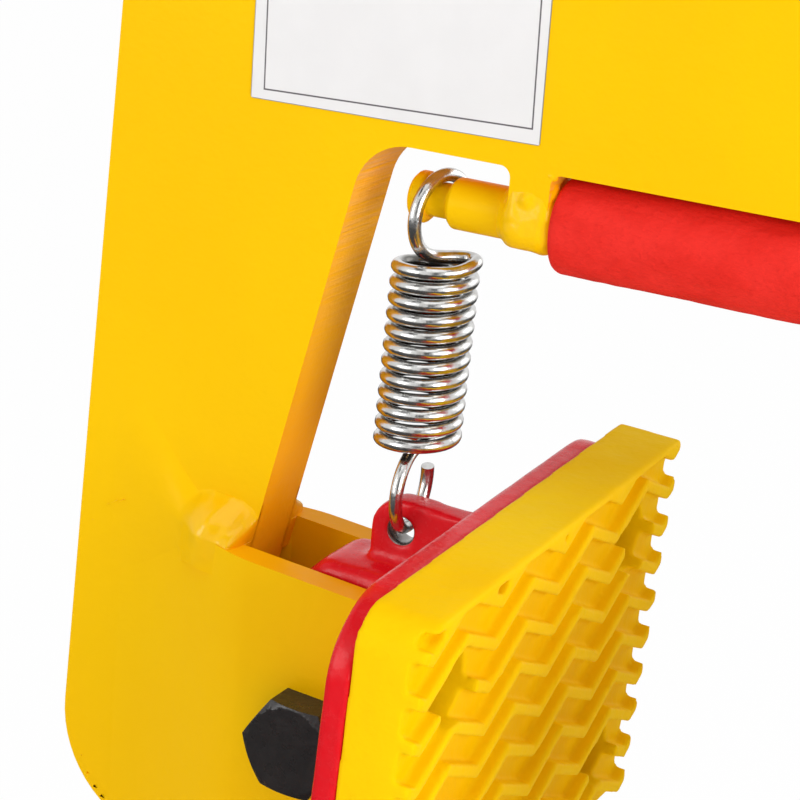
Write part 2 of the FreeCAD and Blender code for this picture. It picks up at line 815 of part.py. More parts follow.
def make_left_pad_nuts():
    nuts = []
    for index, (y, z) in enumerate(screw_places()):
        height = "screw_nut_height"
        block = hexagon(f"left_pad_nut_block_{index}", "screw_nut_flats", height, "-x", "plate_back_offset")
        start = f"plate_back_offset - {height} - overrun"
        length = f"{height} + 2 * overrun"
        thread = cylinder(f"left_pad_nut_thread_{index}", "screw_radius + weld_gap", length, "x", start)
        nuts.append(place(cut(f"left_pad_nut_{index}", block, [thread]), y=y, z=z))
    return at_left_pivot(group("left_pad_nuts", nuts), jaw_turn())


# Springs: one wire from the hook on the bar's neck, through the coils, to the hook in the jaw's ear


def biarc(start, start_way, end, end_way):
    """Two arcs that leave one point in one direction and reach another point in another."""
    chord = end - start
    both = start_way + end_way
    square = 2 * (1 - start_way.dot(end_way))
    across = chord.dot(both)
    if abs(square) < 1e-9:
        reach = chord.dot(chord) / (2 * across) if abs(across) > 1e-9 else chord.Length / 2
    else:
        reach = (-across + math.sqrt(across * across + square * chord.dot(chord))) / square
    joint = (start + end) * 0.5 + (start_way - end_way) * (reach / 2)
    joint_way = (end - start - (start_way + end_way) * reach).normalize() if reach else chord
    return [arc(start, start_way, joint), arc(joint, joint_way, end)]


def arc(start, way, end):
    """The arc, or the straight run, that leaves start along way and reaches end."""
    chord = end - start
    out = chord - way * chord.dot(way)
    if out.Length < 1e-4 * chord.Length:
        return Part.LineSegment(start, end)
    out.normalize()
    radius = chord.dot(chord) / (2 * chord.dot(out))
    centre = start + out * radius
    middle = (start + end) * 0.5 - centre
    middle.normalize()
    if chord.dot(way) < 0:
        middle = middle * -1
    return Part.Arc(start, centre + middle * radius, end)


def spring_nodes():
    """Points on the wire's centre line, each with its direction, from the top hook's tip down."""
    degree = math.radians(1)
    coil = size("coil_radius")
    pitch = size("coil_pitch")
    bend = size("hook_bend_radius")
    rise = size("hook_rise")
    top = size("coil_top")
    bottom = size("coil_bottom")
    seat = size("wire_radius + hook_seat_gap")
    nodes = []

    # The top hook wraps the bar's neck in an upright plane, open at the rear
    front = Vector(-math.sin(size("top_hook_turn") * degree), -math.cos(size("top_hook_turn") * degree), 0)
    crossing = top + rise
    crest = size("bar_height + bar_neck_radius") + seat
    loop = (crest - crossing) / 2
    middle = Vector(0, 0, crossing + loop)
    up = Vector(0, 0, 1)
    for angle in (-size("top_hook_overlap"), 0, 55, 110, 150):
        swing = angle * degree
        point = middle + front * (loop * math.sin(swing)) + up * (loop * math.cos(swing))
        nodes.append((point, front * math.cos(swing) - up * math.sin(swing)))

    # It crosses the coil's end to the rim and bends there into the first turn
    exit_turn = size("top_hook_exit") * degree
    outward = Vector(math.cos(exit_turn), math.sin(exit_turn), 0)
    onward = Vector(outward.y, -outward.x, 0)
    level = Vector(0, 0, crossing)
    nodes.append((level + outward * (coil - bend), outward))
    nodes.append((level + outward * coil + onward * bend, onward))

    # The coils go down clockwise as seen from above
    quarters = round(size("coil_turns") * 4)
    for step in range(quarters + 1):
        share = step / quarters
        angle = (size("coil_start_angle") - 360 * size("coil_turns") * share) * degree
        point = Vector(coil * math.cos(angle), coil * math.sin(angle), top + (bottom - top) * share)
        way = Vector(math.sin(angle), -math.cos(angle), -pitch / (2 * math.pi * coil))
        nodes.append((point, way.normalize()))

    # The last turn bends in, crosses under the coil and drops into the hook through the ear
    crossing = bottom - rise
    exit_turn = size("bottom_hook_exit") * degree
    outward = Vector(math.cos(exit_turn), math.sin(exit_turn), 0)
    onward = Vector(outward.y, -outward.x, 0)
    inward = outward * -1
    level = Vector(0, 0, crossing)
    nodes.append((level + outward * coil - onward * bend, onward))
    nodes.append((level + outward * (coil - bend), inward))
    half_ear = size("ear_thickness / 2")
    hole_line = size("ear_hole_height + ear_hole_radius - wire_radius - ear_seat_gap")
    reach = crossing - hole_line
    loop = (reach * reach + half_ear * half_ear) / (2 * reach)
    middle = Vector(0, 0, crossing - loop)
    for angle in (0, 45, 90, 135, 180, 225, 270, size("bottom_hook_tip")):
        swing = angle * degree
        point = middle + inward * (loop * math.sin(swing)) + up * (loop * math.cos(swing))
        nodes.append((point, inward * math.cos(swing) - up * math.sin(swing)))
    return nodes


def make_left_spring():
    """The zinc-plated extension spring, one unbroken wire that leans from the neck to the ear."""
    neck = size("bar_end_offset + bar_disc_width + bar_neck_width / 2")
    ear = size("ear_hole_offset")
    lean = (neck - ear) / size("bar_height - ear_hole_height")

    def leaned(vector, from_height):
        return Vector(vector.x + lean * (vector.z - from_height), vector.y, vector.z)

    nodes = []
    for point, way in spring_nodes():
        here = leaned(point, size("ear_hole_height")) + Vector(ear, 0, 0)
        nodes.append((here, leaned(way, 0).normalize()))
    edges = []
    for (start, start_way), (end, end_way) in zip(nodes, nodes[1:]):
        edges += [piece.toShape() for piece in biarc(start, start_way, end, end_way)]
    path = Part.Wire(edges)
    radii = [edge.Curve.Radius for edge in edges if hasattr(edge.Curve, "Radius")]
    print(f"spring path {path.Length:.1f} mm long, least bend radius {min(radii):.2f} mm")
    print(f"spring least gap to itself {least_gap(path):.2f} mm")
    ring = Part.Wire([Part.Circle(nodes[0][0], nodes[0][1], size("wire_radius")).toShape()])
    spring = doc.addObject("Part::Feature", "left_spring")
    spring.Shape = path.makePipeShell([ring], True, False)
    return at_left_pivot(spring)


def least_gap(path):
    """The least gap between two stretches of the wire that are not neighbours along it."""
    step = size("wire_radius")
    points = path.discretize(Distance=step)
    apart = math.ceil(math.pi * size("coil_radius") / step)
    least = min(
        (points[late] - points[early]).Length
        for early in range(len(points))
        for late in range(early + apart, len(points))
    )
    return least - 2 * size("wire_radius")


def make_parts():
    cheek = make_left_cheek_rear()
    front_cheek = mirrored(cheek, Vector(0, 1, 0), "left_cheek_front")
    left = [
        cheek,
        front_cheek,
        make_left_bolt(),
        make_left_nut(),
        make_left_washer(),
        make_left_jaw(),
        make_left_bush(),
        make_left_thrust_washers(),
        make_left_pad(),
        make_left_pad_screws(),
        make_left_pad_washers(),
        make_left_pad_nuts(),
        make_left_spring(),
    ]
    middle = [make_main_plate(), *make_eye_rings(), make_crossbar(), make_foam_sleeve()]
    return middle + left + [mirrored(piece) for piece in left]


parts = make_parts()
doc.recompute()
for thing in doc.Objects:
    if "Invalid" in thing.State or "Error" in thing.State:
        raise RuntimeError(f"{thing.Label} did not recompute")
for part in parts:
    if part.Shape.isNull() or not part.Shape.isValid() or not part.Shape.Solids:
        raise RuntimeError(f"{part.Label} has no valid solid")
os.makedirs("parts", exist_ok=True)
for part in parts:
    part.Shape.exportStep(f"parts/{part.Label}.step")
print(f"{len(parts)} parts written")
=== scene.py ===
import math

import bmesh
import bpy
from mathutils import Matrix, Vector, noise


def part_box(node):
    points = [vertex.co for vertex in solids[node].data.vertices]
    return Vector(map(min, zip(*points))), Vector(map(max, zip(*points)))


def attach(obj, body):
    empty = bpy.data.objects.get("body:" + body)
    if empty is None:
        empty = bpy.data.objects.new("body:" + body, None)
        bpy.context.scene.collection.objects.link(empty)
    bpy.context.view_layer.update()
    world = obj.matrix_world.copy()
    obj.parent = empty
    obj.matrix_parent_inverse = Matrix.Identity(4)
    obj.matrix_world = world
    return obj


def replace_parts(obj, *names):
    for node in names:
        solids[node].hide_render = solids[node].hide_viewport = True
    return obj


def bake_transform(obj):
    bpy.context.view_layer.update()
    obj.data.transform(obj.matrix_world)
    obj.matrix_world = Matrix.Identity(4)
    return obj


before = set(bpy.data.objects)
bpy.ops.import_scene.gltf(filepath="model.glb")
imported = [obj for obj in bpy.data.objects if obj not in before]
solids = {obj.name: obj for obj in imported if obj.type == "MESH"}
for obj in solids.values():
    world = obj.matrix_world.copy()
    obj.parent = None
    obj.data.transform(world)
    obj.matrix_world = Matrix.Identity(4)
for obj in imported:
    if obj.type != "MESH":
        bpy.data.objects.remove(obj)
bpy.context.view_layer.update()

# Studio. A plain pale floor under the hanging clamp, four soft lamps round it, and dark cards that show in
# reflections only. The camera stands where the photographer stood, a little above the throat.
EYE, THROAT = Vector((0.2032, -0.6651, -0.0031)), Vector((-0.1, 0, -0.25))
AZIMUTH, ELEVATION, TILT = math.radians(26.0), math.radians(17.8), math.radians(5.0)
FOCAL_PIXELS, FRAME_PIXELS, SENSOR = 2480, 800, 36.0
FLOOR_REACH, FLOOR_Z = 4.0, -0.62
FLOOR_GLOW, SKY_LIGHT = 0.98, 0.48


def placed(name, data):
    """A new object that is part of the scene."""
    thing = bpy.data.objects.new(name, data)
    bpy.context.collection.objects.link(thing)
    return thing


along_floor = math.cos(ELEVATION)
ahead = Vector((-math.sin(AZIMUTH) * along_floor, math.cos(AZIMUTH) * along_floor, -math.sin(ELEVATION)))
level = Vector((math.cos(AZIMUTH), math.sin(AZIMUTH), 0))
upright = level.cross(ahead)
right = level * math.cos(TILT) + upright * math.sin(TILT)
top = upright * math.cos(TILT) - level * math.sin(TILT)
camera = placed("camera", bpy.data.cameras.new("camera"))
camera.data.sensor_width = SENSOR
camera.data.lens = FOCAL_PIXELS / FRAME_PIXELS * SENSOR
camera.data.clip_start = 0.01
camera.matrix_world = Matrix.Translation(EYE) @ Matrix((right, top, -ahead)).transposed().to_4x4()
bpy.context.scene.camera = camera
bpy.context.scene.view_settings.view_transform = "Standard"


def soft_lamp(name, place, width, power):
    """A square lamp that looks at the clamp's throat."""
    lamp = placed(name, bpy.data.lights.new(name, "AREA"))
    lamp.data.size = width
    lamp.data.energy = power
    lamp.location = place
    lamp.rotation_euler = (THROAT - Vector(place)).to_track_quat("-Z", "Y").to_euler()


soft_lamp("front_lamp", (-1.1, -1.5, 0.15), 0.8, 9.0)
soft_lamp("right_lamp", (1.5, -0.7, 0.1), 0.9, 17.0)
soft_lamp("top_lamp", (0.1, -0.5, 1.3), 1.3, 7.5)
soft_lamp("rear_lamp", (0.9, 1.6, 0.4), 1.1, 7.0)


class Signal:
    """One output of a node. Sums and products of signals add the nodes they need."""

    def __init__(self, tree, socket):
        self.tree = tree
        self.socket = socket

    def __add__(self, other):
        return self.tree.maths("ADD", self, other)

    def __radd__(self, other):
        return self.tree.maths("ADD", other, self)

    def __sub__(self, other):
        return self.tree.maths("SUBTRACT", self, other)

    def __rsub__(self, other):
        return self.tree.maths("SUBTRACT", other, self)

    def __mul__(self, other):
        return self.tree.maths("MULTIPLY", self, other)

    def __rmul__(self, other):
        return self.tree.maths("MULTIPLY", other, self)

    def __truediv__(self, other):
        return self.tree.maths("DIVIDE", self, other)

    def __pow__(self, other):
        return self.tree.maths("POWER", self, other)

    def size(self):
        return self.tree.maths("ABSOLUTE", self)

    def sine(self):
        return self.tree.maths("SINE", self)

    def root(self):
        return self.tree.maths("SQRT", self)

    def at_least(self, floor):
        return self.tree.maths("MAXIMUM", self, floor)

    def melt(self, other, reach):
        """The lower of two signals, with a soft passage of the given reach between them."""
        return self.tree.maths("SMOOTH_MIN", self, other, reach)

    def ramp(self, low, high, start=0.0, end=1.0):
        """Soft step from start to end while the signal goes from low to high."""
        settings = {"interpolation_type": "SMOOTHSTEP"}
        return self.tree.add("ShaderNodeMapRange", settings, [self, low, high, start, end])


class Tree:
    """A tree of nodes, and the ways in which nodes are added to it."""

    def __init__(self, tree):
        self.tree = tree

    def add(self, kind, settings, values, output=0):
        node = self.tree.nodes.new(kind)
        for name, setting in settings.items():
            setattr(node, name, setting)
        for key, value in values.items() if isinstance(values, dict) else enumerate(values):
            if isinstance(value, Signal):
                self.tree.links.new(value.socket, node.inputs[key])
            else:
                node.inputs[key].default_value = value
        return Signal(self, node.outputs[output])

    def maths(self, operation, *values):
        return self.add("ShaderNodeMath", {"operation": operation}, values)

    def seen(self):
        """1 for what the camera sees straight or as a reflection, and 0 for all other light."""
        straight = self.add("ShaderNodeLightPath", {}, [], "Is Camera Ray")
        return straight.at_least(self.add("ShaderNodeLightPath", {}, [], "Is Glossy Ray"))


class Finish(Tree):
    """One material, built from its Principled shader outwards."""

    def __init__(self, name, **shader):
        self.material = bpy.data.materials.new(name)
        self.material.use_nodes = True
        super().__init__(self.material.node_tree)
        self.shader = self.tree.nodes["Principled BSDF"]
        self.place = self.add("ShaderNodeTexCoord", {}, [], "Object")
        self.feed(**shader)

    def feed(self, **sockets):
        for name, value in sockets.items():
            socket = self.shader.inputs[name.replace("_", " ")]
            if isinstance(value, Signal):
                self.tree.links.new(value.socket, socket)
            else:
                socket.default_value = value

    def mix(self, share, one, other):
        return self.add("ShaderNodeMix", {"data_type": "RGBA"}, {0: share, 6: one, 7: other}, 2)

    def grain(self, scale, detail=2.0, stretch=(1, 1, 1)):
        """Noise with the given number of lumps in a metre."""
        spot = self.add("ShaderNodeMapping", {}, {"Vector": self.place, "Scale": stretch})
        return self.add("ShaderNodeTexNoise", {}, {"Vector": spot, "Scale": scale, "Detail": detail})

    def at(self, axis):
        """How far along an axis a point lies, in metres."""
        return self.add("ShaderNodeSeparateXYZ", {}, [self.place], axis)

    def facing(self, axis):
        """How far a face looks along an axis, from -1 to 1."""
        normal = self.add("ShaderNodeNewGeometry", {}, [], "Normal")
        return self.add("ShaderNodeSeparateXYZ", {}, [normal], axis)

    def relief(self, height, depth, under=None):
        """A bump of the given depth in metres, laid over another bump if one is given."""
        values = {"Strength": 1.0, "Distance": depth, "Height": height}
        if under:
            values["Normal"] = under
        return self.add("ShaderNodeBump", {}, values)


floor_finish = Finish("floor_paint", Base_Color=(0.9, 0.9, 0.9, 1), Roughness=0.8)
paint = Signal(floor_finish, floor_finish.shader.outputs[0])
white = floor_finish.add("ShaderNodeEmission", {}, {"Color": (1, 1, 1, 1), "Strength": 1.0})
both = floor_finish.add("ShaderNodeMixShader", {}, [floor_finish.seen() * FLOOR_GLOW, paint, white])
floor_finish.tree.links.new(both.socket, floor_finish.tree.nodes["Material Output"].inputs["Surface"])
floor_mesh = bpy.data.meshes.new("floor")
square = ((-1, -1), (1, -1), (1, 1), (-1, 1))
floor_mesh.from_pydata([(x * FLOOR_REACH, y * FLOOR_REACH, FLOOR_Z) for x, y in square], [], [(0, 1, 2, 3)])
floor_mesh.materials.append(floor_finish.material)
placed("floor", floor_mesh)

card_finish = Finish("dark_card", Base_Color=(0.05, 0.05, 0.05, 1), Roughness=0.9)


def dark_card(name, place, target, width, height):
    """A card as a photographer hangs it, that shows in reflections only."""
    mesh = bpy.data.meshes.new(name)
    turn = (Vector(target) - Vector(place)).to_track_quat("-Z", "Y").to_matrix().to_4x4()
    where = Matrix.Translation(place) @ turn
    spots = [where @ Vector((x * width / 2, y * height / 2, 0)) for x, y in square]
    mesh.from_pydata(spots, [], [(0, 1, 2, 3)])
    mesh.materials.append(card_finish.material)
    card = placed(name, mesh)
    for ray in ("camera", "diffuse", "transmission", "shadow", "volume_scatter"):
        setattr(card, "visible_" + ray, False)


dark_card("card_behind_camera", (0.75, -1.9, 0.35), THROAT, 0.75, 1.6)
dark_card("card_below", (0, -0.2, FLOOR_Z + 0.004), (0, -0.2, 1), 4.4, 4.0)
dark_card("card_above", (0, -0.3, 1.5), (0, 0, -0.3), 2.6, 2.2)

world = bpy.data.worlds.new("studio")
bpy.context.scene.world = world
world.use_nodes = True
sky = Tree(world.node_tree)
sky.tree.nodes.clear()
strength = sky.add("ShaderNodeMix", {}, {"Factor": sky.seen(), "A": SKY_LIGHT, "B": 1.0})
backdrop = sky.add("ShaderNodeBackground", {}, {"Strength": strength, "Color": (1, 1, 1, 1)})
sky.tree.links.new(backdrop.socket, sky.tree.nodes.new("ShaderNodeOutputWorld").inputs["Surface"])

# Main plate. An inverted U flame-cut from 25 mm steel plate and powder-coated yellow. The front and rear
# faces are smooth. The cut edges keep fine striations across the thickness. Faces that turn away from the
# front and rear are painted a deeper orange as painted shade, and the striations high on the cut edges
# carry a paler painted sheen.
MM = 0.001
PIVOT_OUT, PIVOT_DROP = 131.0, 350.0
PIVOT_X, PIVOT_Z = PIVOT_OUT * MM, -PIVOT_DROP * MM
YELLOW, DEEP_YELLOW = (0.93, 0.555, 0.0006, 1), (0.925, 0.53, 0.0006, 1)
SHADE_ORANGE, STRIATION_SHEEN_ORANGE = (0.97, 0.45, 0.001, 1), (0.86, 0.44, 0.14, 1)
SMOOTH_BELOW, ROUGH_ABOVE = -245 * MM, -170 * MM
GLOSS_OUT, GLOSS_UP = 41 * MM, 60 * MM


def powder_coat(name, cut_edges=False, on_welds=False):
    """Powder coat, painted a deeper orange where a face doesn't look to the front or rear, as painted
    shade.
    """
    finish = Finish(name, Specular_IOR_Level=0.05, Coat_Roughness=0.14)
    if on_welds:
        aside = finish.at("X").size() - (PIVOT_X + GLOSS_OUT)
        above = finish.at("Z") - (PIVOT_Z + GLOSS_UP)
        on_heap = (aside * aside + above * above).root().ramp(6 * MM, 14 * MM, 0.5, 0.0)
        finish.feed(Coat_Weight=on_heap.at_least(above.ramp(50 * MM, 70 * MM, 0.0, 0.2)))
    colour = finish.mix(finish.grain(9.0, 3.0).ramp(0.3, 0.7), YELLOW, DEEP_YELLOW)
    peel = finish.relief(finish.grain(520.0), 0.0001, finish.relief(finish.grain(45.0), 0.0004))
    side_on = finish.facing("Y").size().ramp(0.2, 0.6, 1.0, 0.0)
    # Faces that turn away from the front and rear are painted a deeper orange: painted shade.
    colour = finish.mix(side_on, colour, SHADE_ORANGE)
    if cut_edges:
        cut = finish.grain(900.0, stretch=(1.0, 0.035, 1.0))
        rough_cut = finish.at("Z").ramp(SMOOTH_BELOW, ROUGH_ABOVE, 0.12, 1.0) * side_on
        under = (finish.facing("Z") * -1).ramp(0.1, 0.6, 0.4, 1.0)
        # The striations high on the cut edges, most on faces that look down, are painted paler and greyer:
        # real cut marks with a painted sheen of grazing reflection on them.
        colour = finish.mix(cut.ramp(0.3, 0.7) * rough_cut * under * 0.9, colour, STRIATION_SHEEN_ORANGE)
        peel = finish.relief(cut * rough_cut, 0.0004, peel)
    finish.feed(Base_Color=colour, Normal=peel, Roughness=finish.grain(300.0).ramp(0.2, 0.8, 0.30, 0.42))
    return finish.material


def new_piece(name, mesh, material, body):
    """Link a finished mesh as one piece. It rides on a body, if one is named."""
    mesh.materials.clear()
    mesh.materials.append(material)
    piece = placed(name, mesh)
    if body:
        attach(piece, body)
    return piece


def baked(thing):
    """The mesh of an object once its modifiers are applied. The object itself is removed."""
    mesh = bpy.data.meshes.new_from_object(thing.evaluated_get(bpy.context.evaluated_depsgraph_get()))
    bpy.data.objects.remove(thing)
    return mesh


def merged_copy(node):
    """A copy of a solid's mesh with its loose triangles joined and its flat faces made whole."""
    shape = bmesh.new()
    shape.from_mesh(solids[node].data)
    bmesh.ops.remove_doubles(shape, verts=shape.verts, dist=0.003 * MM)
    limit = math.radians(0.5)
    bmesh.ops.dissolve_limit(shape, angle_limit=limit, verts=shape.verts, edges=shape.edges)
    return shape


def closed(shape, name):
    """The mesh of a finished shape. The shape itself is removed."""
    mesh = bpy.data.meshes.new(name)
    shape.to_mesh(mesh)
    shape.free()
    return mesh


def smoothed(mesh, crease=None):
    """Shade a mesh smooth. Past the crease angle, if one is given, its edges stay sharp."""
    for polygon in mesh.polygons:
        polygon.use_smooth = True
    if crease:
        mesh.set_sharp_from_angle(angle=crease)
    return mesh


def rounded(shape, name, radius, steps):
    """Round the sharp edges of a shape by a small radius and keep its flat faces flat."""
    thing = placed(name, smoothed(closed(shape, name)))
    edges = thing.modifiers.new("edges", "BEVEL")
    edges.width = radius
    edges.segments = steps
    edges.limit_method = "ANGLE"
    edges.angle_limit = math.radians(30)
    edges.miter_outer = "MITER_ARC"
    thing.modifiers.new("faces", "WEIGHTED_NORMAL")
    return baked(thing)


def dressed(node, shape, radius, material, body, steps=3):
    """A copy of a solid, or a changed shape of it, with rounded edges, that stands in its place."""
    mesh = rounded(shape, node + "_shape", radius, steps)
    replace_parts(new_piece(node + "_finished", mesh, material, body), node)


plate_coat = powder_coat("yellow_coat_on_plate", cut_edges=True)
coat = powder_coat("yellow_coat")
dressed("main_plate", merged_copy("main_plate"), 1.0 * MM, plate_coat, "frame")
for node in ("eye_ring_front", "eye_ring_rear"):
    dressed(node, merged_copy(node), 0.8 * MM, coat, "frame")

# Sign panel. A white vinyl sticker on the front face above the throat, stuck on a little askew, with a
# thin dark line round its rim and another inside it, and a plain field.
PANEL = (-174.8 * MM, -77.2 * MM, -151.5 * MM, -79.5 * MM)
BORDER_MIDDLE, BORDER_HALF = (49.8 * MM, 35.1 * MM), (45.1 * MM, 31.9 * MM)
PANEL_TURN, PRINT_TURN = math.radians(0.9), math.radians(0.86)
PLATE_FACE, GLUE, VINYL = -12.5 * MM, 0.02 * MM, 0.22 * MM
WHITE, BRIGHT_WHITE, INK = (0.78, 0.77, 0.77, 1), (0.80, 0.79, 0.79, 1), (0.035, 0.02, 0.03, 1)


def askew(across, up, angle):
    """The distances across and up, measured along the sides of a sheet that is turned by an angle."""
    return across * math.cos(angle) + up * math.sin(angle), up * math.cos(angle) - across * math.sin(angle)


def panel_vinyl():
    """White vinyl with its two printed lines."""
    finish = Finish("white_vinyl", Roughness=0.32, Specular_IOR_Level=0.4)
    left, right_side, low, high = PANEL
    middle = ((right_side - left) / 2, (high - low) / 2)
    on_sheet = askew(finish.at("X") - left, finish.at("Z") - low, PANEL_TURN)

    def inset(ways, centre, half):
        """The distance inwards from the border of a rectangle."""
        gaps = [(way - spot).size() * -1 + reach for way, spot, reach in zip(ways, centre, half)]
        return finish.maths("MINIMUM", *gaps)

    rim = inset(on_sheet, middle, middle).ramp(0.12 * MM, 0.3 * MM, 0.75, 0.0)
    inner = inset(askew(*on_sheet, PRINT_TURN), BORDER_MIDDLE, BORDER_HALF).size()
    line = inner.ramp(0.18 * MM, 0.32 * MM, 0.9, 0.0).at_least(rim)
    sheet = finish.mix(finish.grain(60.0).ramp(0.3, 0.7), WHITE, BRIGHT_WHITE)
    finish.feed(Base_Color=finish.mix(line, sheet, INK))
    finish.feed(Normal=finish.relief(finish.grain(90.0), 0.00012))
    return finish.material


def panel_shape():
    """A thin sheet with rounded corners, turned about its lower left corner."""
    left, right_side, low, high = PANEL
    shape = bmesh.new()
    for x, z in ((left, low), (right_side, low), (right_side, high), (left, high)):
        shape.verts.new((x, PLATE_FACE - GLUE, z))
    shape.faces.new(shape.verts)
    bmesh.ops.bevel(shape, geom=shape.verts[:], offset=0.8 * MM, segments=4, profile=0.5, affect="VERTICES")
    raised = bmesh.ops.extrude_face_region(shape, geom=shape.faces[:])
    for vertex in (item for item in raised["geom"] if isinstance(item, bmesh.types.BMVert)):
        vertex.co.y -= VINYL
    bmesh.ops.recalc_face_normals(shape, faces=shape.faces)
    turn = Matrix.Rotation(-PANEL_TURN, 3, "Y")
    bmesh.ops.rotate(shape, verts=shape.verts, cent=(left, 0, low), matrix=turn)
    return closed(shape, "sign_panel")


new_piece("sign_panel", panel_shape(), panel_vinyl(), "frame")


# Welds. Rippled beads of weld metal join the eye's doubler rings to the plate. The crossbar lies in the
# open foot of each tab, and there the weld is heaped up and runs smoothly over both under the coat.
BAR_UP, BAR_SKIN = 175.3, 7.9 * MM
BAR_Z = PIVOT_Z + BAR_UP * MM
RING_RADIUS, RING_FACE = 36.3 * MM, 13.2 * MM
weld_coat = powder_coat("yellow_coat_on_welds", on_welds=True)


class Recipe(Tree):
    """A tree of geometry nodes that turns the line it is given into a solid mesh."""

    def __init__(self, name, **inputs):
        super().__init__(bpy.data.node_groups.new(name, "GeometryNodeTree"))
        self.sockets = {}
        self.tree.interface.new_socket(name="Line", in_out="INPUT", socket_type="NodeSocketGeometry")
        for word, kind in inputs.items():
            self.sockets[word] = self.tree.interface.new_socket(name=word, in_out="INPUT", socket_type=kind)
        self.tree.interface.new_socket(name="Solid", in_out="OUTPUT", socket_type="NodeSocketGeometry")
        self.inlet = self.tree.nodes.new("NodeGroupInput")
        self.outlet = self.tree.nodes.new("NodeGroupOutput")

    def given(self, name):
        return Signal(self, self.inlet.outputs[name])

    def sweep(self, line, sides):
        """A round rod of the given radius along a line."""
        ring = {"Resolution": sides, "Radius": self.given("Radius")}
        ring = self.add("GeometryNodeCurvePrimitiveCircle", {}, ring)
        rod = {"Curve": line, "Profile Curve": ring, "Fill Caps": True}
        return self.add("GeometryNodeCurveToMesh", {}, rod)

    def close(self, solid):
        """Smooth the mesh, give it its finish and send it out."""
        smooth = self.add("GeometryNodeSetShadeSmooth", {}, [solid])
        whole = self.add("GeometryNodeRealizeInstances", {}, [smooth])
        coated = {"Geometry": whole, "Material": self.given("Finish")}
        done = self.add("GeometryNodeSetMaterial", {}, coated)
        self.tree.links.new(done.socket, self.outlet.inputs[0])

    def run(self, name, points, loop=False, **values):
        """Apply the tree to a line through the points and return the mesh."""
        mesh = bpy.data.meshes.new(name)
        count = len(points)
        steps = [(index, (index + 1) % count) for index in range(count if loop else count - 1)]
        mesh.from_pydata([tuple(point) for point in points], steps, [])
        thing = placed(name, mesh)
        modifier = thing.modifiers.new("recipe", "NODES")
        modifier.node_group = self.tree
        for word, value in values.items():
            modifier[self.sockets[word].identifier] = value
        return baked(thing)


FLOAT, MATERIAL = "NodeSocketFloat", "NodeSocketMaterial"
bead = Recipe("weld_bead", Radius=FLOAT, Ripple_Pitch=FLOAT, Ripple_Depth=FLOAT, Finish=MATERIAL)
line = bead.add("GeometryNodeMeshToCurve", {}, [bead.given("Line")])
line = bead.add("GeometryNodeResampleCurve", {"mode": "LENGTH"}, {"Curve": line, "Length": 0.35 * MM})
along = bead.add("GeometryNodeSplineParameter", {}, [], "Length")
ripple = (along / bead.given("Ripple_Pitch") * math.tau).sine() * bead.given("Ripple_Depth")
lumps = bead.add("ShaderNodeTexNoise", {"noise_dimensions": "3D"}, {"Scale": 160.0, "Detail": 1.0})
line = bead.add("GeometryNodeSetCurveRadius", {}, {"Curve": line, "Radius": 0.85 + ripple + lumps * 0.3})
bead.close(bead.sweep(line, 14))


def round_the_eye(depth, steps=180):
    """Points along the foot of a doubler ring, where it meets the plate."""
    points = []
    for step in range(steps):
        angle = math.tau * step / steps
        points.append(Vector((RING_RADIUS * math.cos(angle), depth, RING_RADIUS * math.sin(angle))))
    return points


for side, depth in (("front", -RING_FACE), ("rear", RING_FACE)):
    name = f"eye_ring_weld_{side}"
    sizes = {"Radius": 3.0 * MM, "Ripple_Pitch": 1.9 * MM, "Ripple_Depth": 0.09}
    mesh = bead.run(name, round_the_eye(depth), True, Finish=weld_coat, **sizes)
    new_piece(name, mesh, weld_coat, "frame")


TAB_X, TAB_HALF, TAB_FOOT = 79.2 * MM, (6.5 * MM, 12.5 * MM), 5.4 * MM
HEAP_MELT, LUMP_MELT, GRIT = 11 * MM, 2.4 * MM, 0.9
BLOCK_HALF, BLOCK_BELOW, BLOCK_ABOVE = (11.2 * MM, 16 * MM), 12.5 * MM, 18.6 * MM
BLOCK_STEPS, BLOCK_SOFTNESS = (54, 76, 74), 4 * MM
heap = Recipe("heaped_weld", Middle=FLOAT, Outward=FLOAT, Finish=MATERIAL)
here = heap.add("GeometryNodeInputPosition", {}, [])
x, y, z = (heap.add("ShaderNodeSeparateXYZ", {}, [here], axis) for axis in range(3))
x = (x - heap.given("Middle")) * heap.given("Outward")
z = z - BAR_Z
fade = z.ramp(-3 * MM, 14 * MM, 1.0, 0.0)
swell, round_by = fade * 2.1 * MM - 0.35 * MM, fade * 3.8 * MM + 1.2 * MM
past_side = x.size() - swell - (TAB_HALF[0] - round_by)
past_face = y.size() - swell - (TAB_HALF[1] - round_by)
past_foot = -1 * z - swell - (TAB_FOOT - round_by)
within = past_side.at_least(past_face).at_least(past_foot)
outside = (past_side.at_least(0) ** 2 + past_face.at_least(0) ** 2 + past_foot.at_least(0) ** 2).root()
surface = outside - round_by + within - within.at_least(0)
surface = surface.melt((y * y + z * z).root() - BAR_SKIN, HEAP_MELT)
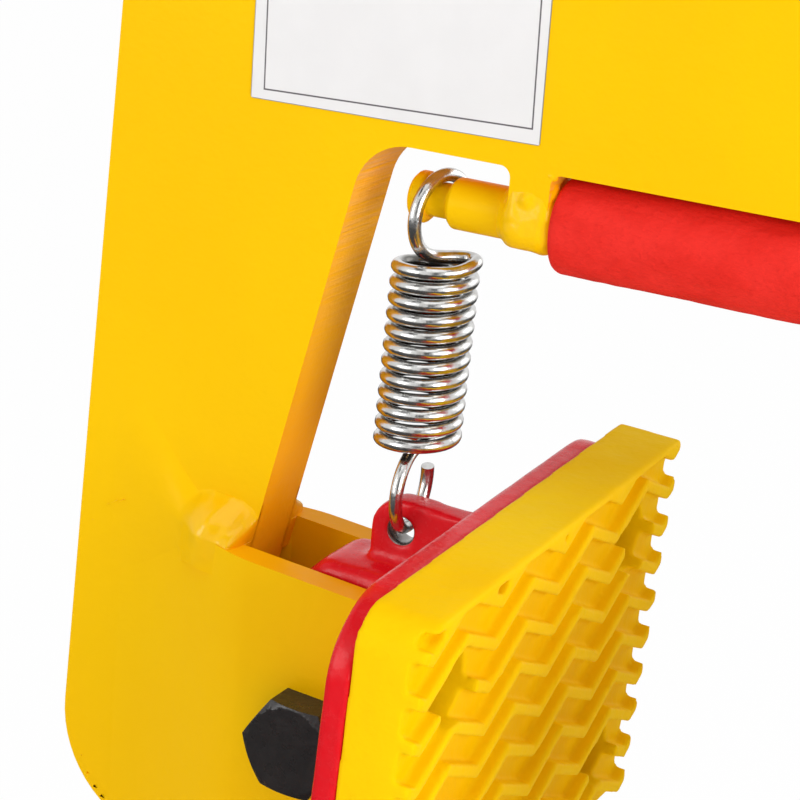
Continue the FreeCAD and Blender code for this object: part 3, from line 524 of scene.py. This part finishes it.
# Each lump of weld metal by its place outwards, rearwards and upwards of the bar's axis in the middle of
# the tab, and its radius, in millimetres.
LUMPS = [
    (6.6, -6.2, -5.0, 3.2), (2.4, -9.0, -3.6, 3.2), (7.0, -7.6, 2.4, 2.4), (7.4, 3.0, -5.6, 2.2),
    (0.6, -12.0, 8.0, 1.9), (-6.9, -11.2, 16.3, 1.5), (-5.0, 8.8, -4.6, 3.0), (3.0, 10.4, 5.0, 2.6),
    (-4.4, -7.4, 10.0, 3.0), (-4.4, -9.4, 3.0, 3.6), (-4.4, -7.4, -4.4, 3.6),
]
for lump_x, lump_y, lump_z, radius in LUMPS:
    away = (x - lump_x * MM) ** 2 + (y - lump_y * MM) ** 2 + (z - lump_z * MM) ** 2
    surface = surface.melt(away.root() - radius * MM, LUMP_MELT)
grit = heap.add("ShaderNodeTexNoise", {"noise_dimensions": "3D"}, {"Scale": 170.0, "Detail": 2.0})
surface = surface + (grit - 0.5) * GRIT * MM
density = heap.add("ShaderNodeClamp", {}, [0.5 - surface / BLOCK_SOFTNESS, 0.0, 1.0])
lowest = [heap.given("Middle") - BLOCK_HALF[0], -BLOCK_HALF[1], BAR_Z - BLOCK_BELOW]
highest = [heap.given("Middle") + BLOCK_HALF[0], BLOCK_HALF[1], BAR_Z + BLOCK_ABOVE]
block = {"Density": density, "Background": 0.0}
block["Min"] = heap.add("ShaderNodeCombineXYZ", {}, lowest)
block["Max"] = heap.add("ShaderNodeCombineXYZ", {}, highest)
block.update({f"Resolution {axis}": steps for axis, steps in zip("XYZ", BLOCK_STEPS)})
block = heap.add("GeometryNodeVolumeCube", {}, block)
heap.close(heap.add("GeometryNodeVolumeToMesh", {}, {"Volume": block, "Threshold": 0.5}))

for side, sign in (("left", -1.0), ("right", 1.0)):
    name = f"{side}_tab_weld"
    mesh = heap.run(name, [(0, 0, 0)], Middle=sign * TAB_X, Outward=sign, Finish=weld_coat)
    new_piece(name, mesh, weld_coat, "frame")


# Crossbar and foam sleeve. A 16 mm round bar with a grooved neck at each end, pushed through the tabs and
# welded. Between the tabs it wears a red closed-cell foam tube, cut to length. Stone edges bump on that.
FOAM_OUTER, FOAM_BORE, FOAM_LIP, FOAM_SHRINK = 15.0 * MM, 8.3 * MM, 2.2 * MM, 0.3
FOAM_ROWS, FOAM_SIDES, LIP_STEPS = 96, 72, 6
dressed("crossbar", merged_copy("crossbar"), 0.6 * MM, coat, "frame")

foam = Finish("red_foam", Roughness=0.75, Specular_IOR_Level=0.12)
pores = foam.grain(700.0, 3.0, (0.75, 1, 1))
skin = foam.grain(120.0, 3.0, (0.6, 1, 1))
shade = foam.mix(skin.ramp(0.3, 0.7), (0.80, 0.028, 0.02, 1), (0.72, 0.02, 0.013, 1))
foam.feed(Base_Color=foam.mix(pores.ramp(0.55, 0.75, 0.0, 0.35), shade, (0.62, 0.012, 0.01, 1)))
foam.feed(Normal=foam.relief(pores, 0.0004, foam.relief(skin, 0.0012)))


def foam_tube(half_length):
    """A tube with rounded mouths and a slightly uneven skin."""
    profile = []
    for step in range(LIP_STEPS + 1):
        angle = math.pi / 2 * step / LIP_STEPS
        inset, drop = FOAM_LIP * math.cos(angle), FOAM_LIP * math.sin(angle)
        profile.append((-half_length + FOAM_LIP - inset, FOAM_OUTER - FOAM_LIP + drop))
    mouth = profile[:]
    for step in range(1, FOAM_ROWS):
        run = (2 * half_length - 2 * FOAM_LIP) * step / FOAM_ROWS
        profile.append((-half_length + FOAM_LIP + run, FOAM_OUTER))
    profile += [(-x, radius) for x, radius in reversed(mouth)]
    profile = [(-half_length, FOAM_BORE)] + profile + [(half_length, FOAM_BORE)]
    shape = bmesh.new()
    rings = []
    for x, radius in profile:
        ring = []
        share = (radius - FOAM_BORE) / (FOAM_OUTER - FOAM_BORE)
        for step in range(FOAM_SIDES):
            angle = math.tau * step / FOAM_SIDES
            way = Vector((0, math.cos(angle), math.sin(angle)))
            spot = Vector((x, 0, BAR_Z)) + way * radius
            swell = noise.noise(Vector((x * 22, way.y * 1.3, way.z * 1.3))) * 0.5
            swell += noise.noise(spot * 260) * 0.12
            ring.append(shape.verts.new(spot + way * (swell * MM - FOAM_SHRINK * MM) * share))
        rings.append(ring)
    for first, second in zip(rings, rings[1:] + rings[:1]):
        for step in range(FOAM_SIDES):
            following = (step + 1) % FOAM_SIDES
            shape.faces.new((first[step], first[following], second[following], second[step]))
    bmesh.ops.recalc_face_normals(shape, faces=shape.faces)
    return smoothed(closed(shape, "foam_tube"), math.radians(50))


low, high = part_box("foam_sleeve")
sleeve = new_piece("foam_tube", foam_tube((high[0] - low[0]) / 2), foam.material, "frame")
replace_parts(sleeve, "foam_sleeve")


# Extension springs. One 4 mm zinc-plated wire each: an open hook round the bar's neck, eleven coils that
# stand a little apart under load, and a hook through the jaw's ear. The spring leans with its two ends.
COIL, COIL_TOP, COIL_LOW, TURNS = 11.75, 155.4, 97.4, 11.44
WIRE, BEND, RISE_OUT = 2.12, 4, 2.4
NECK_IN, NECK_RADIUS, NECK_GAP = 18.5, 5.5, 0.3
EAR_IN, EAR_UP, HOLE_RADIUS, HOLE_GAP = 16.3, 68.3, 4.4, 0.65
LEAN = (NECK_IN - EAR_IN) / (BAR_UP - EAR_UP)
TOP_HOOK_TURN, LOW_HOOK_TURN, LOW_HOOK_HALF = 13, 5, 5


def crossing_stops(height, turn, leaving):
    """The two stops where the wire turns between the coil and the middle of a hook's foot."""
    outward = Vector((math.cos(turn), math.sin(turn), 0))
    onward = Vector((outward.y, -outward.x, 0))
    level = Vector((0, 0, 1)) * height
    if leaving:
        return [
            (level + outward * COIL - onward * BEND, onward),
            (level + outward * (COIL - BEND), -outward),
        ]
    return [
        (level + outward * (COIL - BEND), outward),
        (level + outward * COIL + onward * BEND, onward),
    ]


def spring_line():
    """Points and directions along the left spring's wire, in millimetres from its pivot."""
    degree = math.radians(1)
    up = Vector((0, 0, 1))
    stops = []
    front = Vector((-math.sin(TOP_HOOK_TURN * degree), -math.cos(TOP_HOOK_TURN * degree), 0))
    crossing = COIL_TOP + RISE_OUT
    loop = (BAR_UP + NECK_RADIUS + WIRE + NECK_GAP - crossing) / 2
    for angle in (-35, 0, 55, 110, 150):
        side, rise = math.sin(angle * degree), math.cos(angle * degree)
        point = up * (crossing + loop + loop * rise) + front * (loop * side)
        stops.append((point, front * rise - up * side))
    stops += crossing_stops(crossing, 30 * degree, False)
    fall = (COIL_TOP - COIL_LOW) / TURNS / (2 * math.pi * COIL)
    quarters = round(TURNS * 4)
    for step in range(quarters + 1):
        share = step / quarters
        angle = (-40 - 360 * TURNS * share) * degree
        spot = Vector((COIL * math.cos(angle), COIL * math.sin(angle), 0))
        spot.z = COIL_TOP + (COIL_LOW - COIL_TOP) * share
        stops.append((spot, Vector((math.sin(angle), -math.cos(angle), -fall)).normalized()))
    crossing = COIL_LOW - RISE_OUT
    stops += crossing_stops(crossing, 90 * degree, True)
    reach = crossing - (EAR_UP + HOLE_RADIUS - WIRE - HOLE_GAP)
    loop = (reach * reach + LOW_HOOK_HALF * LOW_HOOK_HALF) / (2 * reach)
    inward = Vector((math.sin(LOW_HOOK_TURN * degree), -math.cos(LOW_HOOK_TURN * degree), 0))
    for angle in (0, 45, 90, 135, 180, 225, 270, 285):
        side, rise = math.sin(angle * degree), math.cos(angle * degree)
        point = up * (crossing - loop + loop * rise) + inward * (loop * side)
        stops.append((point, inward * rise - up * side))
    leaned = []
    for point, way in stops:
        spot = Vector((point.x + LEAN * (point.z - EAR_UP) + EAR_IN, point.y, point.z))
        leaned.append((spot, Vector((way.x + LEAN * way.z, way.y, way.z)).normalized()))
    return leaned


def wire_points(stops, steps=9):
    """A smooth line through the stops, round as a bent wire is between each two of them."""
    points = [stops[0][0]]
    for (start, start_way), (end, end_way) in zip(stops, stops[1:]):
        chord = (end - start).length
        turn = start_way.angle(end_way, 0.0)
        reach = chord / (3 * math.cos(turn / 4) ** 2)
        first, second = start + start_way * reach, end - end_way * reach
        for step in range(1, steps + 1):
            t = step / steps
            s = 1 - t
            points.append(start * s**3 + first * (3 * s * s * t) + second * (3 * s * t * t) + end * t**3)
    return points


zinc = Finish("zinc_wire", Metallic=1.0)
streak = zinc.grain(240.0, 3.0)
tint = zinc.mix(streak.ramp(0.35, 0.7), (0.66, 0.66, 0.65, 1), (0.50, 0.49, 0.47, 1))
height = zinc.at("Z") - PIVOT_Z
from_axis = zinc.at("X").size() - (PIVOT_X - EAR_IN * MM) + (height - EAR_UP * MM) * LEAN
depth = zinc.at("Y")
off_axis = (from_axis * from_axis + depth * depth).root()
half_coil = (COIL_TOP - COIL_LOW) / 2 * MM
in_coil = (height - (COIL_TOP + COIL_LOW) / 2 * MM).size().ramp(half_coil, half_coil + 2.5 * MM, 1.0, 0.0)
# The side of the wire that looks into the spring is painted nearly black along the coils: painted shade
# between the turns.
coil_inside_shade = off_axis.ramp(10.2 * MM, 12.0 * MM, 0.85, 0.0) * in_coil
tint = zinc.mix(coil_inside_shade, tint, (0.03, 0.027, 0.022, 1))
zinc.feed(Base_Color=tint, Roughness=zinc.grain(500.0).ramp(0.25, 0.75, 0.16, 0.27))
zinc.feed(Normal=zinc.relief(zinc.grain(900.0), 0.00006))

wire = Recipe("wound_wire", Radius=FLOAT, Finish=MATERIAL)
wire.close(wire.sweep(wire.add("GeometryNodeMeshToCurve", {}, [wire.given("Line")]), 20))

for side, sign in (("left", -1), ("right", 1)):
    points = []
    for point in wire_points(spring_line()):
        points.append(Vector((sign * (PIVOT_X - point.x * MM), point.y * MM, PIVOT_Z + point.z * MM)))
    mesh = wire.run(f"{side}_spring_wire", points, Radius=WIRE * MM, Finish=zinc.material)
    mesh = smoothed(mesh, math.radians(50))
    spring = new_piece(f"{side}_spring_wire", mesh, zinc.material, None)
    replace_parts(spring, f"{side}_spring")
    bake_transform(spring)


# Cheek plates. Two plates lapped on each leg make the fork for the jaw. Outwards they are dressed down
# until they fade into the leg. Weld metal fills the step above them, heaped up beside the slot.
LEG_FACE, CHEEK_PROUD, CHEEK_FLAT, CHEEK_END = 12.5, 14.5, 24, 96
INNER_EDGE, INNER_LEAN = 44.8, math.tan(math.radians(12.4))
FADE_END, FADE_WIDTH, FADE_POWER = 97, 73, 1.9
TIP_START, TIP_WIDTH, TIP_SUNK = 76, 14, 0.5
BACK_START, BACK_WIDTH, BACK_SUNK = 55, 20, 1.5
EDGE_OUT, EDGE_UP, EDGE_SLOPE = 33, 55, math.tan(math.radians(4.6))
CORNER, CORNER_LEAST = 20, 8
REACH_BY_SLOT, REACH_MORE, WELD_END, RIM_ROUND = 13.5, 34, 95, 3.2
HEAP_OUT, HEAP_HALF, HEAP_UP, HEAP_RISE = 44.5, 14.5, 56, 12.3
HEAP_PROUD, HEAP_POWER, HEAP_BLEND = 11.5, 2.4, 2.5


def eased(share):
    """A soft step from 0 to 1."""
    share = min(max(share, 0.0), 1.0)
    return share * share * (3 - 2 * share)


def proud(out):
    """How far a cheek stands out from the leg, in millimetres, at a distance outwards of its pivot."""
    faded = CHEEK_PROUD * eased((FADE_END - out) / FADE_WIDTH) ** FADE_POWER
    return faded - TIP_SUNK * eased((out - TIP_START) / TIP_WIDTH)


def flat_proud(out):
    """The same for the plain solid, which has straight bevels."""
    stops = [(40, CHEEK_PROUD), (62, 10.0), (66, 10.0), (CHEEK_END, 0.0)]
    for (near, tall), (far, short) in zip(stops, stops[1:]):
        if near <= out <= far:
            return tall + (short - tall) * (out - near) / (far - near)
    return CHEEK_PROUD if out < 40 else 0.0


def faded_cheek(node):
    """A copy of a cheek whose face fades into the leg, and whose thin end is sunk in it at the back."""
    shape = merged_copy(node)
    sign = 1 if node.startswith("right") else -1
    for out in range(CHEEK_FLAT + 1, FADE_END, 3):
        spot = Vector((sign * (PIVOT_X + out * MM), 0, 0))
        everything = shape.verts[:] + shape.edges[:] + shape.faces[:]
        bmesh.ops.bisect_plane(shape, geom=everything, plane_co=spot, plane_no=(1, 0, 0))
    for vertex in shape.verts:
        out = (abs(vertex.co.x) - PIVOT_X) / MM
        depth = abs(vertex.co.y) / MM - LEG_FACE
        if out > CHEEK_FLAT and abs(depth - flat_proud(out)) < 0.06:
            vertex.co.y = math.copysign((LEG_FACE + proud(out)) * MM, vertex.co.y)
        elif out > CHEEK_FLAT and abs(depth) < 0.06:
            sunk = BACK_SUNK * eased((out - BACK_START) / BACK_WIDTH)
            vertex.co.y = math.copysign((LEG_FACE - sunk) * MM, vertex.co.y)
    return shape


def cheek_edge(out):
    """The height of a cheek's top edge over the pivot, with its rounded outer corner."""
    past = max(out - (CHEEK_END - CORNER), 0)
    drop = CORNER - math.sqrt(max(CORNER**2 - past**2, CORNER_LEAST**2))
    return EDGE_UP + (out - EDGE_OUT) * EDGE_SLOPE - drop


def weld_reach(out):
    """How far above the cheek's top edge the leg is built up, in millimetres."""
    return REACH_BY_SLOT + REACH_MORE * eased((out - 49) / 36)


def weld_height(out, up, gap):
    """How far the weld stands out: a slope dressed into the leg, and a heap beside the slot."""
    over_edge, reach = up - cheek_edge(out), weld_reach(out)
    slope = proud(out) * (1 - eased(over_edge / (reach - 4)))
    aside, above = abs(out - HEAP_OUT) / HEAP_HALF, max(up - HEAP_UP, 0) / HEAP_RISE
    ring = (aside**HEAP_POWER + above**HEAP_POWER) ** (1 / HEAP_POWER)
    ring *= 1 + 0.02 * noise.noise(Vector((out * 0.3, up * 0.3, 7)))
    heap = HEAP_PROUD * max(1 - ring**2, 0)
    melted = max(HEAP_BLEND - abs(slope - heap), 0) ** 2 / (4 * HEAP_BLEND)
    tall = max(slope, heap) + melted * min(slope / 2, heap / 2, 1)
    if over_edge > 0:
        # A low ridge round the foot of the heap, and a round rim along the slot.
        tall += 0.4 * math.exp(-(((ring - 1) * 20) ** 2)) * (1 - eased((out - 51) / 7))
        tall *= math.sqrt(1 - (1 - min(max(gap, 0) / RIM_ROUND, 1)) ** 2)
    # A thin skin over the cheek and the slope, sunk at the upper border and at both ends.
    over = eased((out - 38) / 7) * eased((WELD_END - out) / 14)
    skin = -0.35 + 0.65 * over * eased((over_edge / reach + 0.75) / 0.4)
    return tall + skin + (-0.15 - skin) * eased((over_edge / reach - 0.3) / 0.7)


# Each bump on the heap by its place outwards and upwards of the pivot, its width and its height, in
# millimetres.
BUMPS = [(44.0, 61.6, 2.8, 0.9), (46.8, 56.6, 3.0, 0.8), (37.0, 60.3, 2.2, 0.9)]
WELD_FOOT, WELD_LAP, WELD_BACK, WELD_CROWD = -0.75, 0.7, 1.2, 1.3
WELD_COLUMNS, WELD_ROWS = 96, 48


def weld_spot(share, rise):
    """Outwards and upwards of the pivot, and the weld's height there, in millimetres."""
    # The slot leans, so where a row begins depends on its height. A few rounds settle both.
    out = 60.0
    for attempt in range(8):
        up = cheek_edge(out) - WELD_LAP + rise * weld_reach(out)
        inner = INNER_EDGE - up * INNER_LEAN
        out = WELD_END + (inner - WELD_END) * (1 - (1 - share) ** WELD_CROWD)
    height = weld_height(out, up, out - inner)
    for bump_out, bump_up, width, extra in BUMPS:
        away = ((out - bump_out) ** 2 + (up - bump_up) ** 2) / width**2
        height += extra * math.exp(-away)
    height += noise.noise(Vector((out * 0.16, up * 0.16, 3.0))) * 0.2 * (1 - eased((out - 52) / 12))
    if rise >= 1:
        height = -0.3
    return out, up, height


def fork_weld(side, face):
    """The weld over one cheek: a skin in rows upwards, a back inside the leg, and the rim between them."""
    sign_x, sign_y = 1 if side == "right" else -1, 1 if face == "rear" else -1
    shape = bmesh.new()
    layers = []
    for buried in (False, True):
        layer = []
        for row in range(WELD_ROWS + 1):
            line = []
            for column in range(WELD_COLUMNS + 1):
                rise = WELD_FOOT + (1 - WELD_FOOT) * row / WELD_ROWS
                out, up, height = weld_spot(column / WELD_COLUMNS, rise)
                depth = LEG_FACE - WELD_BACK if buried else LEG_FACE + height
                place = (sign_x * (PIVOT_OUT + out), sign_y * depth, up - PIVOT_DROP)
                line.append(shape.verts.new(Vector(place) * MM))
            layer.append(line)
        layers.append(layer)
    for layer in layers:
        for lower, upper in zip(layer, layer[1:]):
            for column in range(WELD_COLUMNS):
                shape.faces.new((lower[column], lower[column + 1], upper[column + 1], upper[column]))
    skin, back = layers
    rim = [(row, 0) for row in range(WELD_ROWS)]
    rim += [(WELD_ROWS, column) for column in range(WELD_COLUMNS)]
    rim += [(row, WELD_COLUMNS) for row in range(WELD_ROWS, 0, -1)]
    rim += [(0, column) for column in range(WELD_COLUMNS, 0, -1)]
    rim = [(skin[row][column], back[row][column]) for row, column in rim]
    for (near, near_back), (far, far_back) in zip(rim, rim[1:] + rim[:1]):
        shape.faces.new((near, far, far_back, near_back))
    bmesh.ops.recalc_face_normals(shape, faces=shape.faces)
    name = f"{side}_fork_weld_{face}"
    mesh = smoothed(closed(shape, name), math.radians(60))
    new_piece(name, mesh, weld_coat, "frame")


for side in ("left", "right"):
    for face in ("front", "rear"):
        node = f"{side}_cheek_{face}"
        dressed(node, faded_cheek(node), 0.8 * MM, coat, "frame")
        fork_weld(side, face)


# Pivot bolts. M20 hexagon bolts in blackened steel, each with a plain washer and a locking nut at the rear.
# The heads are bare.
black = Finish("blackened_steel", Specular_IOR_Level=0.4)
patch = black.grain(90.0, 4.0)
tint = black.mix(patch.ramp(0.35, 0.7), (0.018, 0.0165, 0.0165, 1), (0.024, 0.021, 0.020, 1))
black.feed(Base_Color=tint, Roughness=black.grain(260.0, 3.0).ramp(0.3, 0.7, 0.26, 0.36))
black.feed(Normal=black.relief(black.grain(520.0, 3.0), 0.00018, black.relief(black.grain(60.0), 0.0004)))
for side in ("left", "right"):
    for piece in ("pivot_bolt", "pivot_nut", "pivot_washer"):
        node = f"{side}_{piece}"
        dressed(node, merged_copy(node), 0.5 * MM, black.material, "frame", 2)


# Jaws. Sand castings painted gloss red: a broad backing plate, a hub for the pivot bolt, a web between
# them and a drilled ear for the spring. Every inside corner is a soft fillet.
JAW_TILT = math.radians(2.55)
JAW_GRID, JAW_FACES_KEPT = 1.0 * MM, 0.45
BACK_CORNER, HUB_ROUND, EAR_FOOT = 35.5, 17, 57
red = Finish("red_gloss_paint", Specular_IOR_Level=0.22)
sand = red.grain(420.0, 3.0)
tone = red.grain(25.0, 3.0).ramp(0.3, 0.7)
red_coat = red.mix(tone, (0.74, 0.007, 0.015, 1), (0.68, 0.006, 0.012, 1))
red.feed(Normal=red.relief(sand, 0.00012, red.relief(red.grain(70.0), 0.0006)))
red.feed(Roughness=sand.ramp(0.3, 0.7, 0.18, 0.3))
aside = red.at("X").size() - (PIVOT_X - EAR_IN * MM)
above = red.at("Z") - (PIVOT_Z + EAR_UP * MM)
bare = (aside * aside + above * above).root().ramp(4.75 * MM, 5.05 * MM, 1.0, 0.0)
red.feed(Base_Color=red.mix(bare, red_coat, (0.26, 0.25, 0.24, 1)), Metallic=bare * 0.8)


def gridded(node, voxel):
    """A copy of a solid, remeshed in even steps as one skin."""
    thing = placed(node + "_plain", closed(merged_copy(node), node + "_plain"))
    grid = thing.modifiers.new("grid", "REMESH")
    grid.mode = "VOXEL"
    grid.voxel_size = voxel
    return placed(node + "_grid", baked(thing))


def softened(thing, steps, keep):
    """The mesh of a gridded solid with its corners run together, and with a share of its faces kept."""
    for rounds, where in steps:
        soft = thing.modifiers.new("soft", "SMOOTH")
        soft.factor, soft.iterations, soft.vertex_group = 0.5, rounds, where
    thing.modifiers.new("fewer", "DECIMATE").ratio = keep
    return smoothed(baked(thing))


def cast_copy(node):
    """A copy of a jaw with soft corners, softest of all behind the backing plate."""
    thing = gridded(node, JAW_GRID)
    group = thing.vertex_groups.new(name="behind_plate")
    for vertex in thing.data.vertices:
        inwards = (PIVOT_X - abs(vertex.co.x)) / MM - math.tan(JAW_TILT) * (vertex.co.z - PIVOT_Z) / MM
        bore = math.hypot(PIVOT_X - abs(vertex.co.x), vertex.co.z - PIVOT_Z) / MM
        weight = eased((BACK_CORNER - inwards) / 5) * eased((bore - HUB_ROUND) / 6)
        low = 1 - 0.7 * eased((vertex.co.z - PIVOT_Z - EAR_FOOT * MM) / (5 * MM))
        group.add([vertex.index], weight * low, "REPLACE")
    return softened(thing, ((3, ""), (60, group.name)), JAW_FACES_KEPT)


for side in ("left", "right"):
    mesh = cast_copy(f"{side}_jaw")
    casting = new_piece(f"{side}_jaw_casting", mesh, red.material, f"{side}_swing")
    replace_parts(casting, f"{side}_jaw")

bronze = Finish("bearing_bronze", Metallic=1.0)
turned = bronze.grain(600.0, stretch=(0.15, 1, 0.15))
bronze.feed(Base_Color=bronze.mix(turned, (0.55, 0.36, 0.15, 1), (0.46, 0.29, 0.11, 1)))
bronze.feed(Roughness=turned.ramp(0.3, 0.7, 0.25, 0.4), Normal=bronze.relief(turned, 0.00006))


def painted(node, material):
    """Give a solid that keeps its own shape its finish."""
    mesh = solids[node].data
    mesh.materials.clear()
    mesh.materials.append(material)


for side in ("left", "right"):
    painted(f"{side}_bush", bronze.material)
    painted(f"{side}_thrust_washers", bronze.material)


# Grip pads. Moulded polyurethane blocks, yellow right through, with zigzag ribs that bite the stone. Each
# is held to its jaw by four sunk screws with washers and nuts.
PLATE_BACK, SHORTER = 36.9, 0.45
PAD_GRID, PAD_FACES_KEPT = 0.9 * MM, 0.5
rubber = Finish("moulded_yellow_rubber", Specular_IOR_Level=0.04)
flow = rubber.grain(30.0, 3.0, (1, 1, 0.6))
colour = rubber.mix(flow.ramp(0.3, 0.7), (0.935, 0.61, 0.0006, 1), (0.93, 0.575, 0.0006, 1))
across, upwards = PIVOT_X - rubber.at("X").size(), rubber.at("Z") - PIVOT_Z
depth = across * math.cos(JAW_TILT) - upwards * math.sin(JAW_TILT)
# Faces deep in the grooves, below the rib crests, are painted a deeper orange: painted shade in the
# recesses.
sunk = depth.ramp(51 * MM, 57 * MM, 1.0, 0.0) * rubber.facing("X").size().ramp(0.5, 0.9)
colour = rubber.mix(sunk, colour, (0.95, 0.40, 0.0006, 1))
rubber.feed(Base_Color=colour, Roughness=flow.ramp(0.3, 0.7, 0.46, 0.6))
rubber.feed(Normal=rubber.relief(rubber.grain(650.0), 0.00012, rubber.relief(rubber.grain(110.0), 0.0006)))
bright = Finish("zinc_screws", Metallic=1.0, Base_Color=(0.62, 0.62, 0.63, 1))
bright.feed(Normal=bright.relief(bright.grain(500.0), 0.0001))
bright.feed(Roughness=bright.grain(250.0).ramp(0.3, 0.7, 0.24, 0.4))


def low_copy(node):
    """A copy of nuts or screws whose part behind the backing plate stands out less, as low nuts do."""
    shape = merged_copy(node)
    for vertex in shape.verts:
        back = (PLATE_BACK + math.sin(JAW_TILT) * (vertex.co.z - PIVOT_Z) / MM) / math.cos(JAW_TILT)
        behind = back - (PIVOT_X - abs(vertex.co.x)) / MM
        if behind > 0.3:
            vertex.co.x -= math.copysign(behind * SHORTER * MM, vertex.co.x)
    return shape


for side in ("left", "right"):
    mesh = softened(gridded(f"{side}_pad", PAD_GRID), ((3, ""),), PAD_FACES_KEPT)
    moulding = new_piece(f"{side}_pad_moulding", mesh, rubber.material, f"{side}_swing")
    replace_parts(moulding, f"{side}_pad")
    for node in (f"{side}_pad_screws", f"{side}_pad_nuts"):
        dressed(node, low_copy(node), 0.3 * MM, bright.material, f"{side}_swing", 2)
    painted(f"{side}_pad_washers", bright.material)
